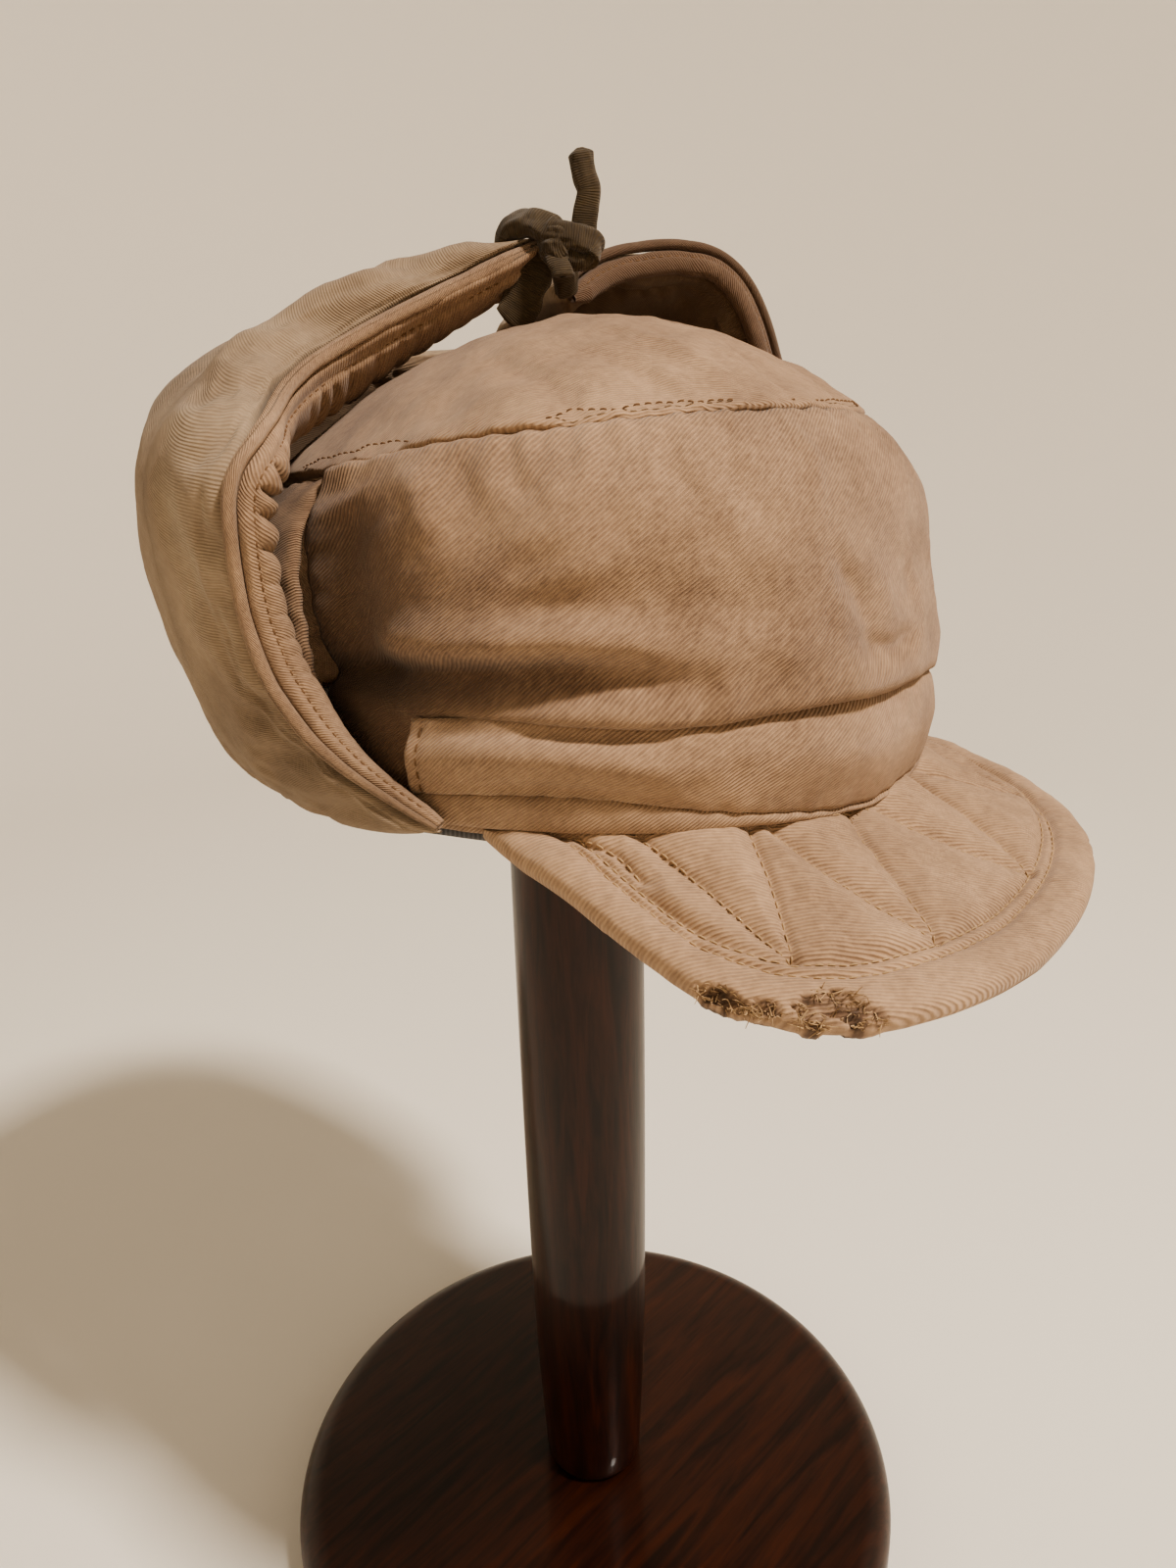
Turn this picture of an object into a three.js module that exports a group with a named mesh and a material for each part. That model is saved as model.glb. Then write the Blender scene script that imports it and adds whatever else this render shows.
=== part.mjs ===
// A padded winter field cap with its ear flaps tied up over the crown, on a turned wooden hat stand.
// Millimetres, +Z up. The origin is the centre of the underside of the stand's base.
// The cap faces -Y, so the wearer's right is -X.
import * as THREE from "three";

// ---------------------------------------------------------------- driving dimensions

// Stand, turned from solid wood.
const BASE_RADIUS = 108;
const BASE_THICKNESS = 21.6;
const BASE_ROUND = 9.5;
const POST_FOOT_RADIUS = 17;
const POST_WAIST_RADIUS = 20;
const POST_NECK_RADIUS = 19;
const HEAD_RADIUS = 50;
const HEAD_RIM_HEIGHT = 368;
const HEAD_DOME = 28;

// Where the cap sits: height of its hem plane, set back from the post, leaning to the wearer's left.
const CAP_HEIGHT = 301;
const CAP_SETBACK = 6;
const CAP_LEAN = 3.4;

// Hem line seen from above: an oval a little squarer than an ellipse. Half length, half width.
const HEM_HALF_LENGTH = 100;
const HEM_HALF_WIDTH = 81;
const HEM_SQUARENESS = 2.3;
const HEM_DIP_AT_BACK = 16;

// Top seam: a tilted plane over the hem plane, higher at the front.
const SEAM_HEIGHT = 76;
const SEAM_RISE_FORWARD = 0.17;
const CROWN_DOME = 34.5;

const CROWN_WALL = 3;
const BAND_WALL = 2.4;
const PEAK_WALL = 5;
const FLAP_WALL = 9;
const SWEATBAND_WALL = 1.4;
const SWEATBAND_RISE = [-0.035, 0.06, 0.12, 0.18]; // share of the crown wall's height that it covers
const GAP = 0.4;
const SEAM_GAP = 0.35; // degrees, between neighbouring crown panels

// Crown side wall from the hem (rise 0) to the top seam (rise 1): reach is the share of the hem line,
// given for the front, the sides and the back.
const CROWN_PROFILE = [
  { rise: 0.0, front: 1.0, side: 1.0, back: 0.86 },
  { rise: 0.12, front: 1.0, side: 1.0, back: 0.9 },
  { rise: 0.24, front: 0.98, side: 0.985, back: 0.95 },
  { rise: 0.34, front: 1.015, side: 1.01, back: 0.985 },
  { rise: 0.5, front: 1.01, side: 1.02, back: 1.0 },
  { rise: 0.66, front: 1.0, side: 1.02, back: 0.995 },
  { rise: 0.8, front: 0.965, side: 0.99, back: 0.97 },
  { rise: 0.91, front: 0.895, side: 0.935, back: 0.92 },
  { rise: 1.0, front: 0.805, side: 0.86, back: 0.85 },
];

// Side seams between the front and back panels of the crown, in degrees round from the front.
const SIDE_SEAM = { atHem: 89, atTop: 95 };

// Band across the brow.
const BAND_END = 73;
const STRIP_END = 67;
const BAND_REACH = 1.022;
const BAND_TOP_AT_FRONT = 27;
const BAND_TOP_AT_END = 22;

// Peak: how far it stands out from the hem line, measured down its slope, on each side of the middle.
const PEAK_OUTLINE = [
  { around: 0, length: 54 },
  { around: 10, length: 53.5 },
  { around: 20, length: 52 },
  { around: 26, length: 49 },
  { around: 31, length: 44 },
  { around: 35, length: 39 },
  { around: 39, length: 32 },
  { around: 44, length: 24 },
  { around: 50, length: 15.5 },
  { around: 58, length: 7.5 },
  { around: 65, length: 0.6 },
];
// Droop below level, in degrees: the wearer's right hangs more than the left.
const PEAK_DROOP = { right: 38, middle: 26, left: 13, reachedAt: 45 };

// Ear and neck flap, turned up. Each rib runs from the hem to the free edge through seven stations:
// hem, low, belly, shoulder, bend, over and edge. At each it gives the angle round from the front,
// the share of the hem line's reach, and the height over the hem plane.
const FLAP_RIBS_RIGHT = [
  {
    rib: "front edge",
    around: [69, 86, 92, 92, 94, 107, 110],
    reach: [1.07, 1.09, 1.14, 1.18, 1.09, 0.76, 0.12],
    up: [-1, 13, 37, 65, 79, 99, 128],
  },
  {
    rib: "ear",
    around: [80, 93, 102, 104, 102, 111, 113],
    reach: [1.06, 1.1, 1.155, 1.19, 1.105, 0.81, 0.3],
    up: [-5, 12, 38, 67, 88, 105, 124],
  },
  {
    rib: "lobe",
    around: [96, 103, 109, 110, 111, 114, 124],
    reach: [1.03, 1.08, 1.15, 1.18, 1.08, 0.81, 0.32],
    up: [-6, 11, 38, 65, 84.5, 101, 120],
  },
  {
    rib: "lobe rear",
    around: [111, 114, 118, 119, 120, 122, 129],
    reach: [1, 1.06, 1.137, 1.183, 1.12, 0.95, 0.66],
    up: [-8, 11, 38, 64, 83, 97, 110],
  },
  {
    rib: "quarter",
    around: [127, 127, 127, 128, 130, 133, 138],
    reach: [0.96, 1.03, 1.126, 1.178, 1.135, 1.04, 0.89],
    up: [-11, 9, 38, 62, 79, 92, 102],
  },
  {
    rib: "neck",
    around: [152, 152, 152, 152, 153, 154, 157],
    reach: [0.94, 1.03, 1.13, 1.16, 1.11, 1.03, 0.94],
    up: [-14, 8, 36, 61, 80, 94, 104],
  },
];
const FLAP_RIB_BACK = {
  rib: "back",
  around: [180, 180, 180, 180, 180, 180, 180],
  reach: [0.92, 1.02, 1.12, 1.14, 1.1, 1.03, 0.93],
  up: [-15, 8, 34, 59, 80, 95, 105],
};
const FLAP_RIBS_LEFT = [
  {
    rib: "front edge",
    around: [69, 80, 86, 83, 87, 98, 120],
    reach: [1.07, 1.11, 1.12, 0.94, 0.76, 0.45, 0.14],
    up: [-1, 18, 50, 94, 126, 128, 117],
  },
  {
    rib: "ear",
    around: [80, 90, 96, 95, 100, 110, 134],
    reach: [1.06, 1.1, 1.13, 1, 0.86, 0.53, 0.2],
    up: [-5, 15, 48, 90, 119, 126, 117],
  },
  {
    rib: "lobe",
    around: [96, 101, 105, 107, 113, 124, 140],
    reach: [1.03, 1.085, 1.135, 1.07, 0.94, 0.66, 0.36],
    up: [-6, 14, 44, 80, 106, 117, 117],
  },
  {
    rib: "lobe rear",
    around: [111, 114, 118, 121, 126, 134, 147],
    reach: [1, 1.06, 1.135, 1.11, 1.03, 0.88, 0.66],
    up: [-8, 12, 42, 73, 95, 107, 113],
  },
  {
    rib: "quarter",
    around: [127, 128, 129, 133, 136, 141, 148],
    reach: [0.96, 1.035, 1.13, 1.14, 1.08, 1, 0.86],
    up: [-11, 10, 40, 66, 84, 98, 108],
  },
  {
    rib: "neck",
    around: [152, 152, 152, 154, 156, 159, 163],
    reach: [0.94, 1.03, 1.13, 1.15, 1.11, 1.03, 0.93],
    up: [-14, 8, 36, 61, 81, 95, 105],
  },
];

// Gathers of the facing roll along the flap's front edge.
const RUFFLE_DEPTH = 1.0;
const ROLL_GAP = 1.1; // between the flap's end and the rolls sewn to it

// Tape ties between the lobes' tips: the knot, and each visible run of tape as a path of points
// measured from the middle of the hem plane.
const KNOT = { centre: [-3.2, -4.2, 126.5], radii: [4.2, 4.4, 5], swell: 0.1 };
const TAPES = [
  {
    name: "tie_loop_right",
    points: [[-14.5, 8, 133], [-12.5, 7, 135.4], [-8.5, 4, 136.8], [-4.5, 0.5, 135.6], [-3, -2.6, 133]],
    width: 6, thick: 2.4, across: [0.6, 0.7, 0.2], count: 9,
  },
  {
    name: "tie_loop_left",
    points: [[1.8, -6.2, 124.5], [4.6, -8.6, 126], [6, -9.5, 128.6], [4.6, -8.2, 131], [2, -5.6, 131.6]],
    width: 5.4, thick: 2.2, across: [0.7, 0.7, 0.3], count: 8,
  },
  {
    name: "tie_end_up",
    points: [[4.4, -2.6, 133.4], [4.8, -2.4, 139], [4.4, -1.4, 145], [4.2, -1, 151]],
    width: 7, thick: 3, across: [0.72, -0.69, 0], count: 7,
  },
  {
    name: "tie_end_down",
    points: [[-3.4, -6.6, 120.6], [-3.6, -7.4, 118], [-3.4, -8, 115.4]],
    width: 5, thick: 1.8, across: [0.72, -0.69, 0], count: 4,
  },
];

// ---------------------------------------------------------------- small maths

const rad = THREE.MathUtils.degToRad;
const mix = THREE.MathUtils.lerp;
const steps = (from, to, count) => Array.from({ length: count + 1 }, (_, i) => mix(from, to, i / count));
const ease = (from, to, x) => THREE.MathUtils.smoothstep(x, from, to);

// Cubic curve through equally spaced numbers, t from 0 to 1.
function curveThrough(values, t) {
  const last = values.length - 1;
  const span = THREE.MathUtils.clamp(Math.floor(t * last), 0, last - 1);
  const s = t * last - span;
  const b = values[span];
  const c = values[span + 1];
  const a = span > 0 ? values[span - 1] : 2 * b - c;
  const d = span + 2 <= last ? values[span + 2] : 2 * c - b;
  return b + 0.5 * s * (c - a + s * (2 * a - 5 * b + 4 * c - d + s * (3 * (b - c) + d - a)));
}

// Reads a table's column at a position, straight between rows and smooth at them.
function lookUp(rows, key, column, x) {
  let i = 0;
  while (i < rows.length - 2 && x > rows[i + 1][key]) i += 1;
  const here = rows[i];
  const next = rows[i + 1];
  const before = rows[Math.max(i - 1, 0)];
  const after = rows[Math.min(i + 2, rows.length - 1)];
  const width = next[key] - here[key];
  const t = THREE.MathUtils.clamp((x - here[key]) / width, 0, 1);
  const slopeHere = ((next[column] - before[column]) / (next[key] - before[key])) * width;
  const slopeNext = ((after[column] - here[column]) / (after[key] - here[key])) * width;
  const t2 = t * t;
  const t3 = t2 * t;
  return (
    (2 * t3 - 3 * t2 + 1) * here[column] +
    (t3 - 2 * t2 + t) * slopeHere +
    (3 * t2 - 2 * t3) * next[column] +
    (t3 - t2) * slopeNext
  );
}

// ---------------------------------------------------------------- the cap's own coordinates

// A point at an angle round from the front (+ to the wearer's right), at a share of the hem line's reach.
function capPoint(around, reach, up) {
  const c = Math.cos(rad(around));
  const s = Math.sin(rad(around));
  const power = 2 / HEM_SQUARENESS;
  return new THREE.Vector3(
    -HEM_HALF_WIDTH * reach * Math.sign(s) * Math.abs(s) ** power,
    -HEM_HALF_LENGTH * reach * Math.sign(c) * Math.abs(c) ** power,
    up,
  );
}

const hemUp = (around) => -HEM_DIP_AT_BACK * ((1 - Math.cos(rad(around))) / 2) ** 1.5;

function profileReach(around, rise) {
  const c = Math.cos(rad(around));
  const front = Math.max(c, 0) ** 2;
  const back = Math.max(-c, 0);
  return (
    front * lookUp(CROWN_PROFILE, "rise", "front", rise) +
    back * lookUp(CROWN_PROFILE, "rise", "back", rise) +
    (1 - front - back) * lookUp(CROWN_PROFILE, "rise", "side", rise)
  );
}

const seamUp = (y) => SEAM_HEIGHT - SEAM_RISE_FORWARD * y;

// Outer face of the crown's side wall.
function crownWall(around, rise) {
  const seam = capPoint(around, profileReach(around, 1), 0);
  return capPoint(around, profileReach(around, rise), mix(hemUp(around), seamUp(seam.y), rise));
}

// Outer face of the crown's top: a shallow dome inside the top seam, share 0 at its middle.
function crownTop(around, share) {
  const p = capPoint(around, profileReach(around, 1) * share, 0);
  p.z = seamUp(p.y) + CROWN_DOME * (1 - share ** 2);
  return p;
}

// ---------------------------------------------------------------- building closed bodies

// Closed body from rows of points: every row is a ring, and the two end rows are capped.
function ringBody(rings) {
  const points = [];
  const faces = [];
  const sides = rings[0].length;
  for (const ring of rings) points.push(...ring);
  for (let r = 0; r + 1 < rings.length; r += 1) {
    for (let k = 0; k < sides; k += 1) {
      const a = r * sides + k;
      const b = r * sides + ((k + 1) % sides);
      faces.push([a, b, b + sides], [a, b + sides, a + sides]);
    }
  }
  for (const [row, flip] of [[0, true], [rings.length - 1, false]]) {
    const centre = new THREE.Vector3();
    for (const p of rings[row]) centre.add(p);
    points.push(centre.divideScalar(sides));
    for (let k = 0; k < sides; k += 1) {
      const a = row * sides + k;
      const b = row * sides + ((k + 1) % sides);
      faces.push(flip ? [points.length - 1, b, a] : [points.length - 1, a, b]);
    }
  }
  return closedGeometry(points, faces);
}

// A geometry from points and faces, turned outward if the faces came out inside out.
function closedGeometry(points, faces) {
  let volume = 0;
  for (const [a, b, c] of faces) {
    volume += points[a].dot(new THREE.Vector3().crossVectors(points[b], points[c]));
  }
  const outward = volume > 0 ? faces : faces.map(([a, b, c]) => [a, c, b]);
  const geometry = new THREE.BufferGeometry().setFromPoints(points);
  geometry.setIndex(outward.flat());
  geometry.computeVertexNormals();
  return geometry;
}

// Unit normal of surface(u, v) by small differences.
function normalAt(surface, u, v) {
  const h = 1e-3;
  const along = surface(u + h, v).sub(surface(u - h, v));
  const up = surface(u, v + h).sub(surface(u, v - h));
  return up.cross(along).normalize();
}

// A sheet between two offsets of surface(u, v): outward(u, v) and inward(u, v) in mm along the normal.
function sheetBody(surface, us, vs, outward, inward) {
  const rings = us.map((u) => {
    const front = vs.map((v) => surface(u, v).addScaledVector(normalAt(surface, u, v), outward(u, v)));
    const rear = vs.map((v) => surface(u, v).addScaledVector(normalAt(surface, u, v), -inward(u, v)));
    return [...front, ...rear.reverse()];
  });
  return stripBody(rings, vs.length);
}

// Rings of a flat strip: as ringBody, with end caps that follow the strip instead of fanning from a centre.
function stripBody(rings, width) {
  const points = rings.flat();
  const sides = rings[0].length;
  const faces = [];
  for (let r = 0; r + 1 < rings.length; r += 1) {
    for (let k = 0; k < sides; k += 1) {
      const a = r * sides + k;
      const b = r * sides + ((k + 1) % sides);
      faces.push([a, b, b + sides], [a, b + sides, a + sides]);
    }
  }
  for (const [row, flip] of [[0, true], [rings.length - 1, false]]) {
    for (let k = 0; k + 1 < width; k += 1) {
      const a = row * sides + k;
      const b = a + 1;
      const c = row * sides + (sides - 2 - k);
      const d = row * sides + (sides - 1 - k);
      const quad = [[a, c, b], [a, d, c]];
      for (const [p, q, s] of quad) faces.push(flip ? [p, q, s] : [p, s, q]);
    }
  }
  return closedGeometry(points, faces);
}

// A lathe body from a closed profile of [radius, height] pairs that starts and ends on the axis.
function turned(profile, segments) {
  const outline = profile.map(([r, z]) => new THREE.Vector2(r, z));
  const geometry = new THREE.LatheGeometry(outline, segments);
  geometry.rotateX(Math.PI / 2);
  return geometry;
}

// ---------------------------------------------------------------- materials

const cloth = (color) => new THREE.MeshStandardMaterial({ color, roughness: 0.95, metalness: 0 });
const wood = (color) => new THREE.MeshStandardMaterial({ color, roughness: 0.35, metalness: 0 });

const cap = new THREE.Group();
const stand = new THREE.Group();

function add(group, name, geometry, material) {
  const mesh = new THREE.Mesh(geometry, material);
  mesh.name = name;
  group.add(mesh);
}

// ---------------------------------------------------------------- stand

function standBase() {
  const arc = steps(0, 90, 5).map((a) => [
    BASE_RADIUS - BASE_ROUND + BASE_ROUND * Math.cos(rad(a)),
    BASE_THICKNESS - BASE_ROUND + BASE_ROUND * Math.sin(rad(a)),
  ]);
  return turned([[0, 0], [BASE_RADIUS - 2, 0], [BASE_RADIUS, 2], ...arc, [0, BASE_THICKNESS]], 48);
}

function standPost() {
  const foot = BASE_THICKNESS + GAP;
  const neck = HEAD_RIM_HEIGHT - GAP;
  const profile = [
    [0, foot],
    [POST_FOOT_RADIUS - 3, foot],
    [POST_FOOT_RADIUS, foot + 4],
    [mix(POST_FOOT_RADIUS, POST_WAIST_RADIUS, 0.7), mix(foot, neck, 0.16)],
    [POST_WAIST_RADIUS, mix(foot, neck, 0.4)],
    [POST_WAIST_RADIUS, mix(foot, neck, 0.7)],
    [POST_NECK_RADIUS, neck],
    [0, neck],
  ];
  return turned(profile, 24);
}

function standHead() {
  const dome = steps(0, 90, 6).map((a) => [
    HEAD_RADIUS * Math.cos(rad(a)),
    HEAD_RIM_HEIGHT + 6 + HEAD_DOME * Math.sin(rad(a)),
  ]);
  return turned([[0, HEAD_RIM_HEIGHT], [HEAD_RADIUS - 3, HEAD_RIM_HEIGHT], ...dome], 28);
}

add(stand, "stand_base", standBase(), wood(0x3a2016));
add(stand, "stand_post", standPost(), wood(0x42261a));
add(stand, "stand_head", standHead(), wood(0x42261a));

// ---------------------------------------------------------------- crown

const wallRise = steps(0, 1, 10).map((r) => Math.min(r, 1 - GAP / 90));

// Angle of the right side seam, which leans back as it rises.
const sideSeam = (rise) => mix(SIDE_SEAM.atHem, SIDE_SEAM.atTop, rise);

function crownPanel(turn, count) {
  const wall = (u, rise) => crownWall(turn(u, rise), rise);
  return sheetBody(wall, steps(0, 1, count), wallRise, () => 0, () => CROWN_WALL);
}

const frontPanel = (u, rise) => mix(-sideSeam(rise), sideSeam(rise), u);
const backPanel = (u, rise) => mix(sideSeam(rise) + SEAM_GAP, 360 - sideSeam(rise) - SEAM_GAP, u);

function crownTopPiece() {
  const shares = [0.28, 0.5, 0.68, 0.83, 0.93, 1 - (2 * GAP) / HEM_HALF_WIDTH];
  const sides = 32;
  const angles = steps(0, 360, sides).slice(0, -1);
  const rows = (drop) => shares.map((share) =>
    angles.map((around) => {
      const n = normalAt(crownTop, around, share);
      const p = crownTop(around, share);
      return p.addScaledVector(n.z > 0 ? n : n.negate(), -drop);
    }),
  );
  const outer = rows(0);
  const inner = rows(CROWN_WALL).reverse();
  return ringBody([...outer, ...inner]);
}

add(cap, "crown_front", crownPanel(frontPanel, 28), cloth(0xa58263));
add(cap, "crown_back", crownPanel(backPanel, 20), cloth(0xa58263));
add(cap, "crown_top", crownTopPiece(), cloth(0xa88666));

// ---------------------------------------------------------------- band, hem strip, sweatband

function frontBand() {
  const top = (around) => mix(BAND_TOP_AT_FRONT, BAND_TOP_AT_END, ease(30, BAND_END, Math.abs(around)));
  const foot = (around) => 1.2 + 6 * ease(38, BAND_END, Math.abs(around));
  const face = (around, v) => {
    const belly = 0.012 * Math.sin(Math.PI * v);
    return capPoint(around, BAND_REACH + belly, mix(foot(around), top(around), v));
  };
  const half = () => BAND_WALL / 2;
  return sheetBody(face, steps(-BAND_END, BAND_END, 32), steps(0, 1, 4), half, half);
}

function hemStrip() {
  const top = (around) => 0.9 + 5.6 * ease(38, BAND_END, Math.abs(around));
  const face = (around, v) => capPoint(around, 1.02, mix(-0.2, top(around), v));
  return sheetBody(face, steps(-STRIP_END, STRIP_END, 28), [0, 0.5, 1], () => 1, () => 1);
}

function sweatband() {
  const near = CROWN_WALL + 3 * GAP;
  const rings = steps(0, 360, 34).slice(0, -1).map((around) => {
    const face = (depth) => SWEATBAND_RISE.map((rise) =>
      crownWall(around, rise).addScaledVector(normalAt(crownWall, around, rise), -depth),
    );
    return [...face(near), ...face(near + SWEATBAND_WALL).reverse()];
  });
  return loopBody(rings);
}

// Rings joined end to end into a closed loop.
function loopBody(rings) {
  const points = rings.flat();
  const sides = rings[0].length;
  const faces = [];
  rings.forEach((_, r) => {
    const next = ((r + 1) % rings.length) * sides;
    for (let k = 0; k < sides; k += 1) {
      const a = r * sides + k;
      const b = r * sides + ((k + 1) % sides);
      const c = next + ((k + 1) % sides);
      const d = next + k;
      faces.push([a, b, c], [a, c, d]);
    }
  });
  return closedGeometry(points, faces);
}

add(cap, "front_band", frontBand(), cloth(0xb39475));
add(cap, "hem_strip", hemStrip(), cloth(0xb09070));
add(cap, "sweatband", sweatband(), cloth(0x2a2320));

// ---------------------------------------------------------------- peak

function peakDroop(around) {
  const { right, middle, left, reachedAt } = PEAK_DROOP;
  const share = THREE.MathUtils.clamp(around / reachedAt, -1, 1);
  return share > 0 ? mix(middle, right, share) : mix(middle, left, -share);
}

// Upper face of the peak: around the hem line, then out and down by a share of the peak's length there.
function peakFace(around, share) {
  const root = capPoint(around, 1.0, hemUp(around) - PEAK_WALL * 0.1 - GAP);
  const along = capPoint(around + 0.1, 1, 0).sub(capPoint(around - 0.1, 1, 0)).normalize();
  const out = new THREE.Vector3(along.y, -along.x, 0);
  if (out.dot(root) < 0) out.negate();
  const length = lookUp(PEAK_OUTLINE, "around", "length", Math.abs(around));
  const droop = rad(peakDroop(around));
  const run = length * share;
  return root.addScaledVector(out, run * Math.cos(droop)).setZ(root.z - run * Math.sin(droop));
}

function peak() {
  const us = steps(-64.5, 64.5, 34);
  const vs = [0, 0.12, 0.3, 0.5, 0.7, 0.86, 0.96, 1];
  return sheetBody(
    (u, v) => peakFace(u, v),
    us,
    vs,
    (u, v) => (v > 0.99 ? PEAK_WALL - 1.4 : PEAK_WALL),
    (u, v) => (v > 0.99 ? -1.2 : 0),
  );
}

add(cap, "peak", peak(), cloth(0xab8a6b));

// ---------------------------------------------------------------- ear and neck flap

// All ribs in order from the right front edge round the back to the left front edge.
const onTheLeft = ({ around, ...rib }) => ({ around: around.map((angle) => 360 - angle), ...rib });
const flapRibs = [...FLAP_RIBS_RIGHT, FLAP_RIB_BACK, ...FLAP_RIBS_LEFT.map(onTheLeft).reverse()];

// Middle of the flap's thickness: u runs from the right front edge round the back to the left front edge,
// v from the hem to the free edge.
function flapMiddle(u, v) {
  const across = (column) => curveThrough(flapRibs.map((rib) => curveThrough(rib[column], v)), u);
  return capPoint(across("around"), across("reach"), across("up"));
}

// Half the flap's thickness: thin where it is sewn to the hem, full over the ears, thinner at the edge.
const flapHalf = (u, v) => (FLAP_WALL / 2) * mix(0.45, 1, ease(0, 0.22, v)) * (1 - 0.15 * ease(0.92, 1, v));

function flap() {
  const us = steps(0, 1, 38);
  const vs = [0, 0.04, ...steps(0.12, 0.94, 11), 1];
  return sheetBody(flapMiddle, us, vs, flapHalf, flapHalf);
}

add(cap, "flap", flap(), cloth(0xad9073));

// A rolled edge that runs along a front edge of the flap. Its section is an ellipse beyond the flap's end:
// across is its half width through the flap's thickness, ahead its half width away from the end, and hang
// is how much it deepens towards the lobe's tip.
function edgeRoll(u, { offset, across, ahead, gathers, hang }) {
  const lead = u < 0.5 ? -1 : 1;
  const stations = steps(0.015, 0.985, gathers > 0 ? 36 : 24);
  const sides = gathers > 0 ? 7 : 6;
  const rings = stations.map((v, i) => {
    const n = normalAt(flapMiddle, u, v);
    const forward = flapMiddle(u + 0.002 * lead, v).sub(flapMiddle(u - 0.002 * lead, v));
    const rise = flapMiddle(u, v + 0.01).sub(flapMiddle(u, v - 0.01)).normalize();
    forward.addScaledVector(rise, -forward.dot(rise)).normalize();
    const gathered = ease(0.05, 0.3, v) * (1 - ease(0.9, 1, v));
    const gather = gathers > 0 ? RUFFLE_DEPTH * Math.sin(i * gathers) * gathered : 0;
    const ends = Math.min(ease(-0.03, 0.03, v), 1 - ease(0.97, 1.02, v));
    const size = mix(0.4, 1, ease(0, 0.25, v)) * ends;
    const lower = hang * ease(0.68, 0.92, v);
    const wide = (across + lower + 0.5 * gather) * size;
    const deep = (ahead + gather) * size;
    const centre = flapMiddle(u, v)
      .addScaledVector(n, (offset - lower - 0.4 * gather) * size)
      .addScaledVector(forward, ROLL_GAP + deep);
    return steps(0, 360, sides).slice(0, -1).map((a) =>
      centre.clone()
        .addScaledVector(n, wide * Math.cos(rad(a)))
        .addScaledVector(forward, deep * Math.sin(rad(a))),
    );
  });
  return ringBody(rings);
}

const ROLL = { offset: -1.5, across: 4, ahead: 3.1, gathers: 2.1 };
const HEM = { offset: 4.9, across: 1.9, ahead: 2.2, gathers: 0 };
const LOBE_HANG = { right: 4.5, left: 0 };
for (const [side, u] of [["right", 0], ["left", 1]]) {
  add(cap, `flap_roll_${side}`, edgeRoll(u, { ...ROLL, hang: LOBE_HANG[side] }), cloth(0xa5866a));
  add(cap, `flap_hem_${side}`, edgeRoll(u, { ...HEM, hang: 0 }), cloth(0xb4977a));
}

// ---------------------------------------------------------------- tapes and knot that tie the lobes

// A flat tape along a smooth curve: across is the direction of its width.
function tape(points, { width, thick, across, count }) {
  const path = new THREE.CatmullRomCurve3(points.map((p) => new THREE.Vector3(...p)));
  const wide = new THREE.Vector3(...across).normalize();
  const rings = steps(0, 1, count).map((t) => {
    const centre = path.getPoint(t);
    const along = path.getTangent(t);
    const side = wide.clone().addScaledVector(along, -wide.dot(along)).normalize();
    const flat = along.clone().cross(side);
    const round = Math.sin(Math.PI * THREE.MathUtils.clamp(t, 0.06, 0.94)) ** 0.25;
    return steps(0, 360, 8).slice(0, -1).map((a) =>
      centre.clone()
        .addScaledVector(side, (width / 2) * round * Math.cos(rad(a)))
        .addScaledVector(flat, (thick / 2) * Math.sin(rad(a))),
    );
  });
  return ringBody(rings);
}

// The knot: a ball whose turns of tape swell round it.
function knot() {
  const rings = steps(14, 166, 8).map((polar) =>
    steps(0, 360, 12).slice(0, -1).map((turn) => {
      const swell = 1 + KNOT.swell * Math.cos(rad(3 * polar + turn));
      return new THREE.Vector3(
        KNOT.centre[0] + KNOT.radii[0] * swell * Math.sin(rad(polar)) * Math.cos(rad(turn)),
        KNOT.centre[1] + KNOT.radii[1] * swell * Math.sin(rad(polar)) * Math.sin(rad(turn)),
        KNOT.centre[2] + KNOT.radii[2] * swell * Math.cos(rad(polar)),
      );
    }),
  );
  return ringBody(rings);
}

add(cap, "tie_knot", knot(), cloth(0x4a3a2c));
for (const { name, points, ...shape } of TAPES) add(cap, name, tape(points, shape), cloth(0x53422f));

// ---------------------------------------------------------------- place the parts

cap.position.set(0, CAP_SETBACK, CAP_HEIGHT);
cap.rotation.y = rad(CAP_LEAN);

const part = new THREE.Group();
part.add(stand, cap);

export default part;
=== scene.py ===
"""A padded winter field cap with its flaps tied up over the crown, on a turned wooden hat stand.

The shape tables are in millimetres, and to_metres turns them into Blender's metres. The cap has its own
coordinates: x to the wearer's left, y to the back, z up from the plane of the hem. Places on it are given
as degrees round from the front, + to the wearer's right, and as a share of a panel's height.
"""
import math

import bpy
import numpy as np
from bpy.props import FloatProperty, FloatVectorProperty, PointerProperty, StringProperty
from mathutils import Matrix, Vector


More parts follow.
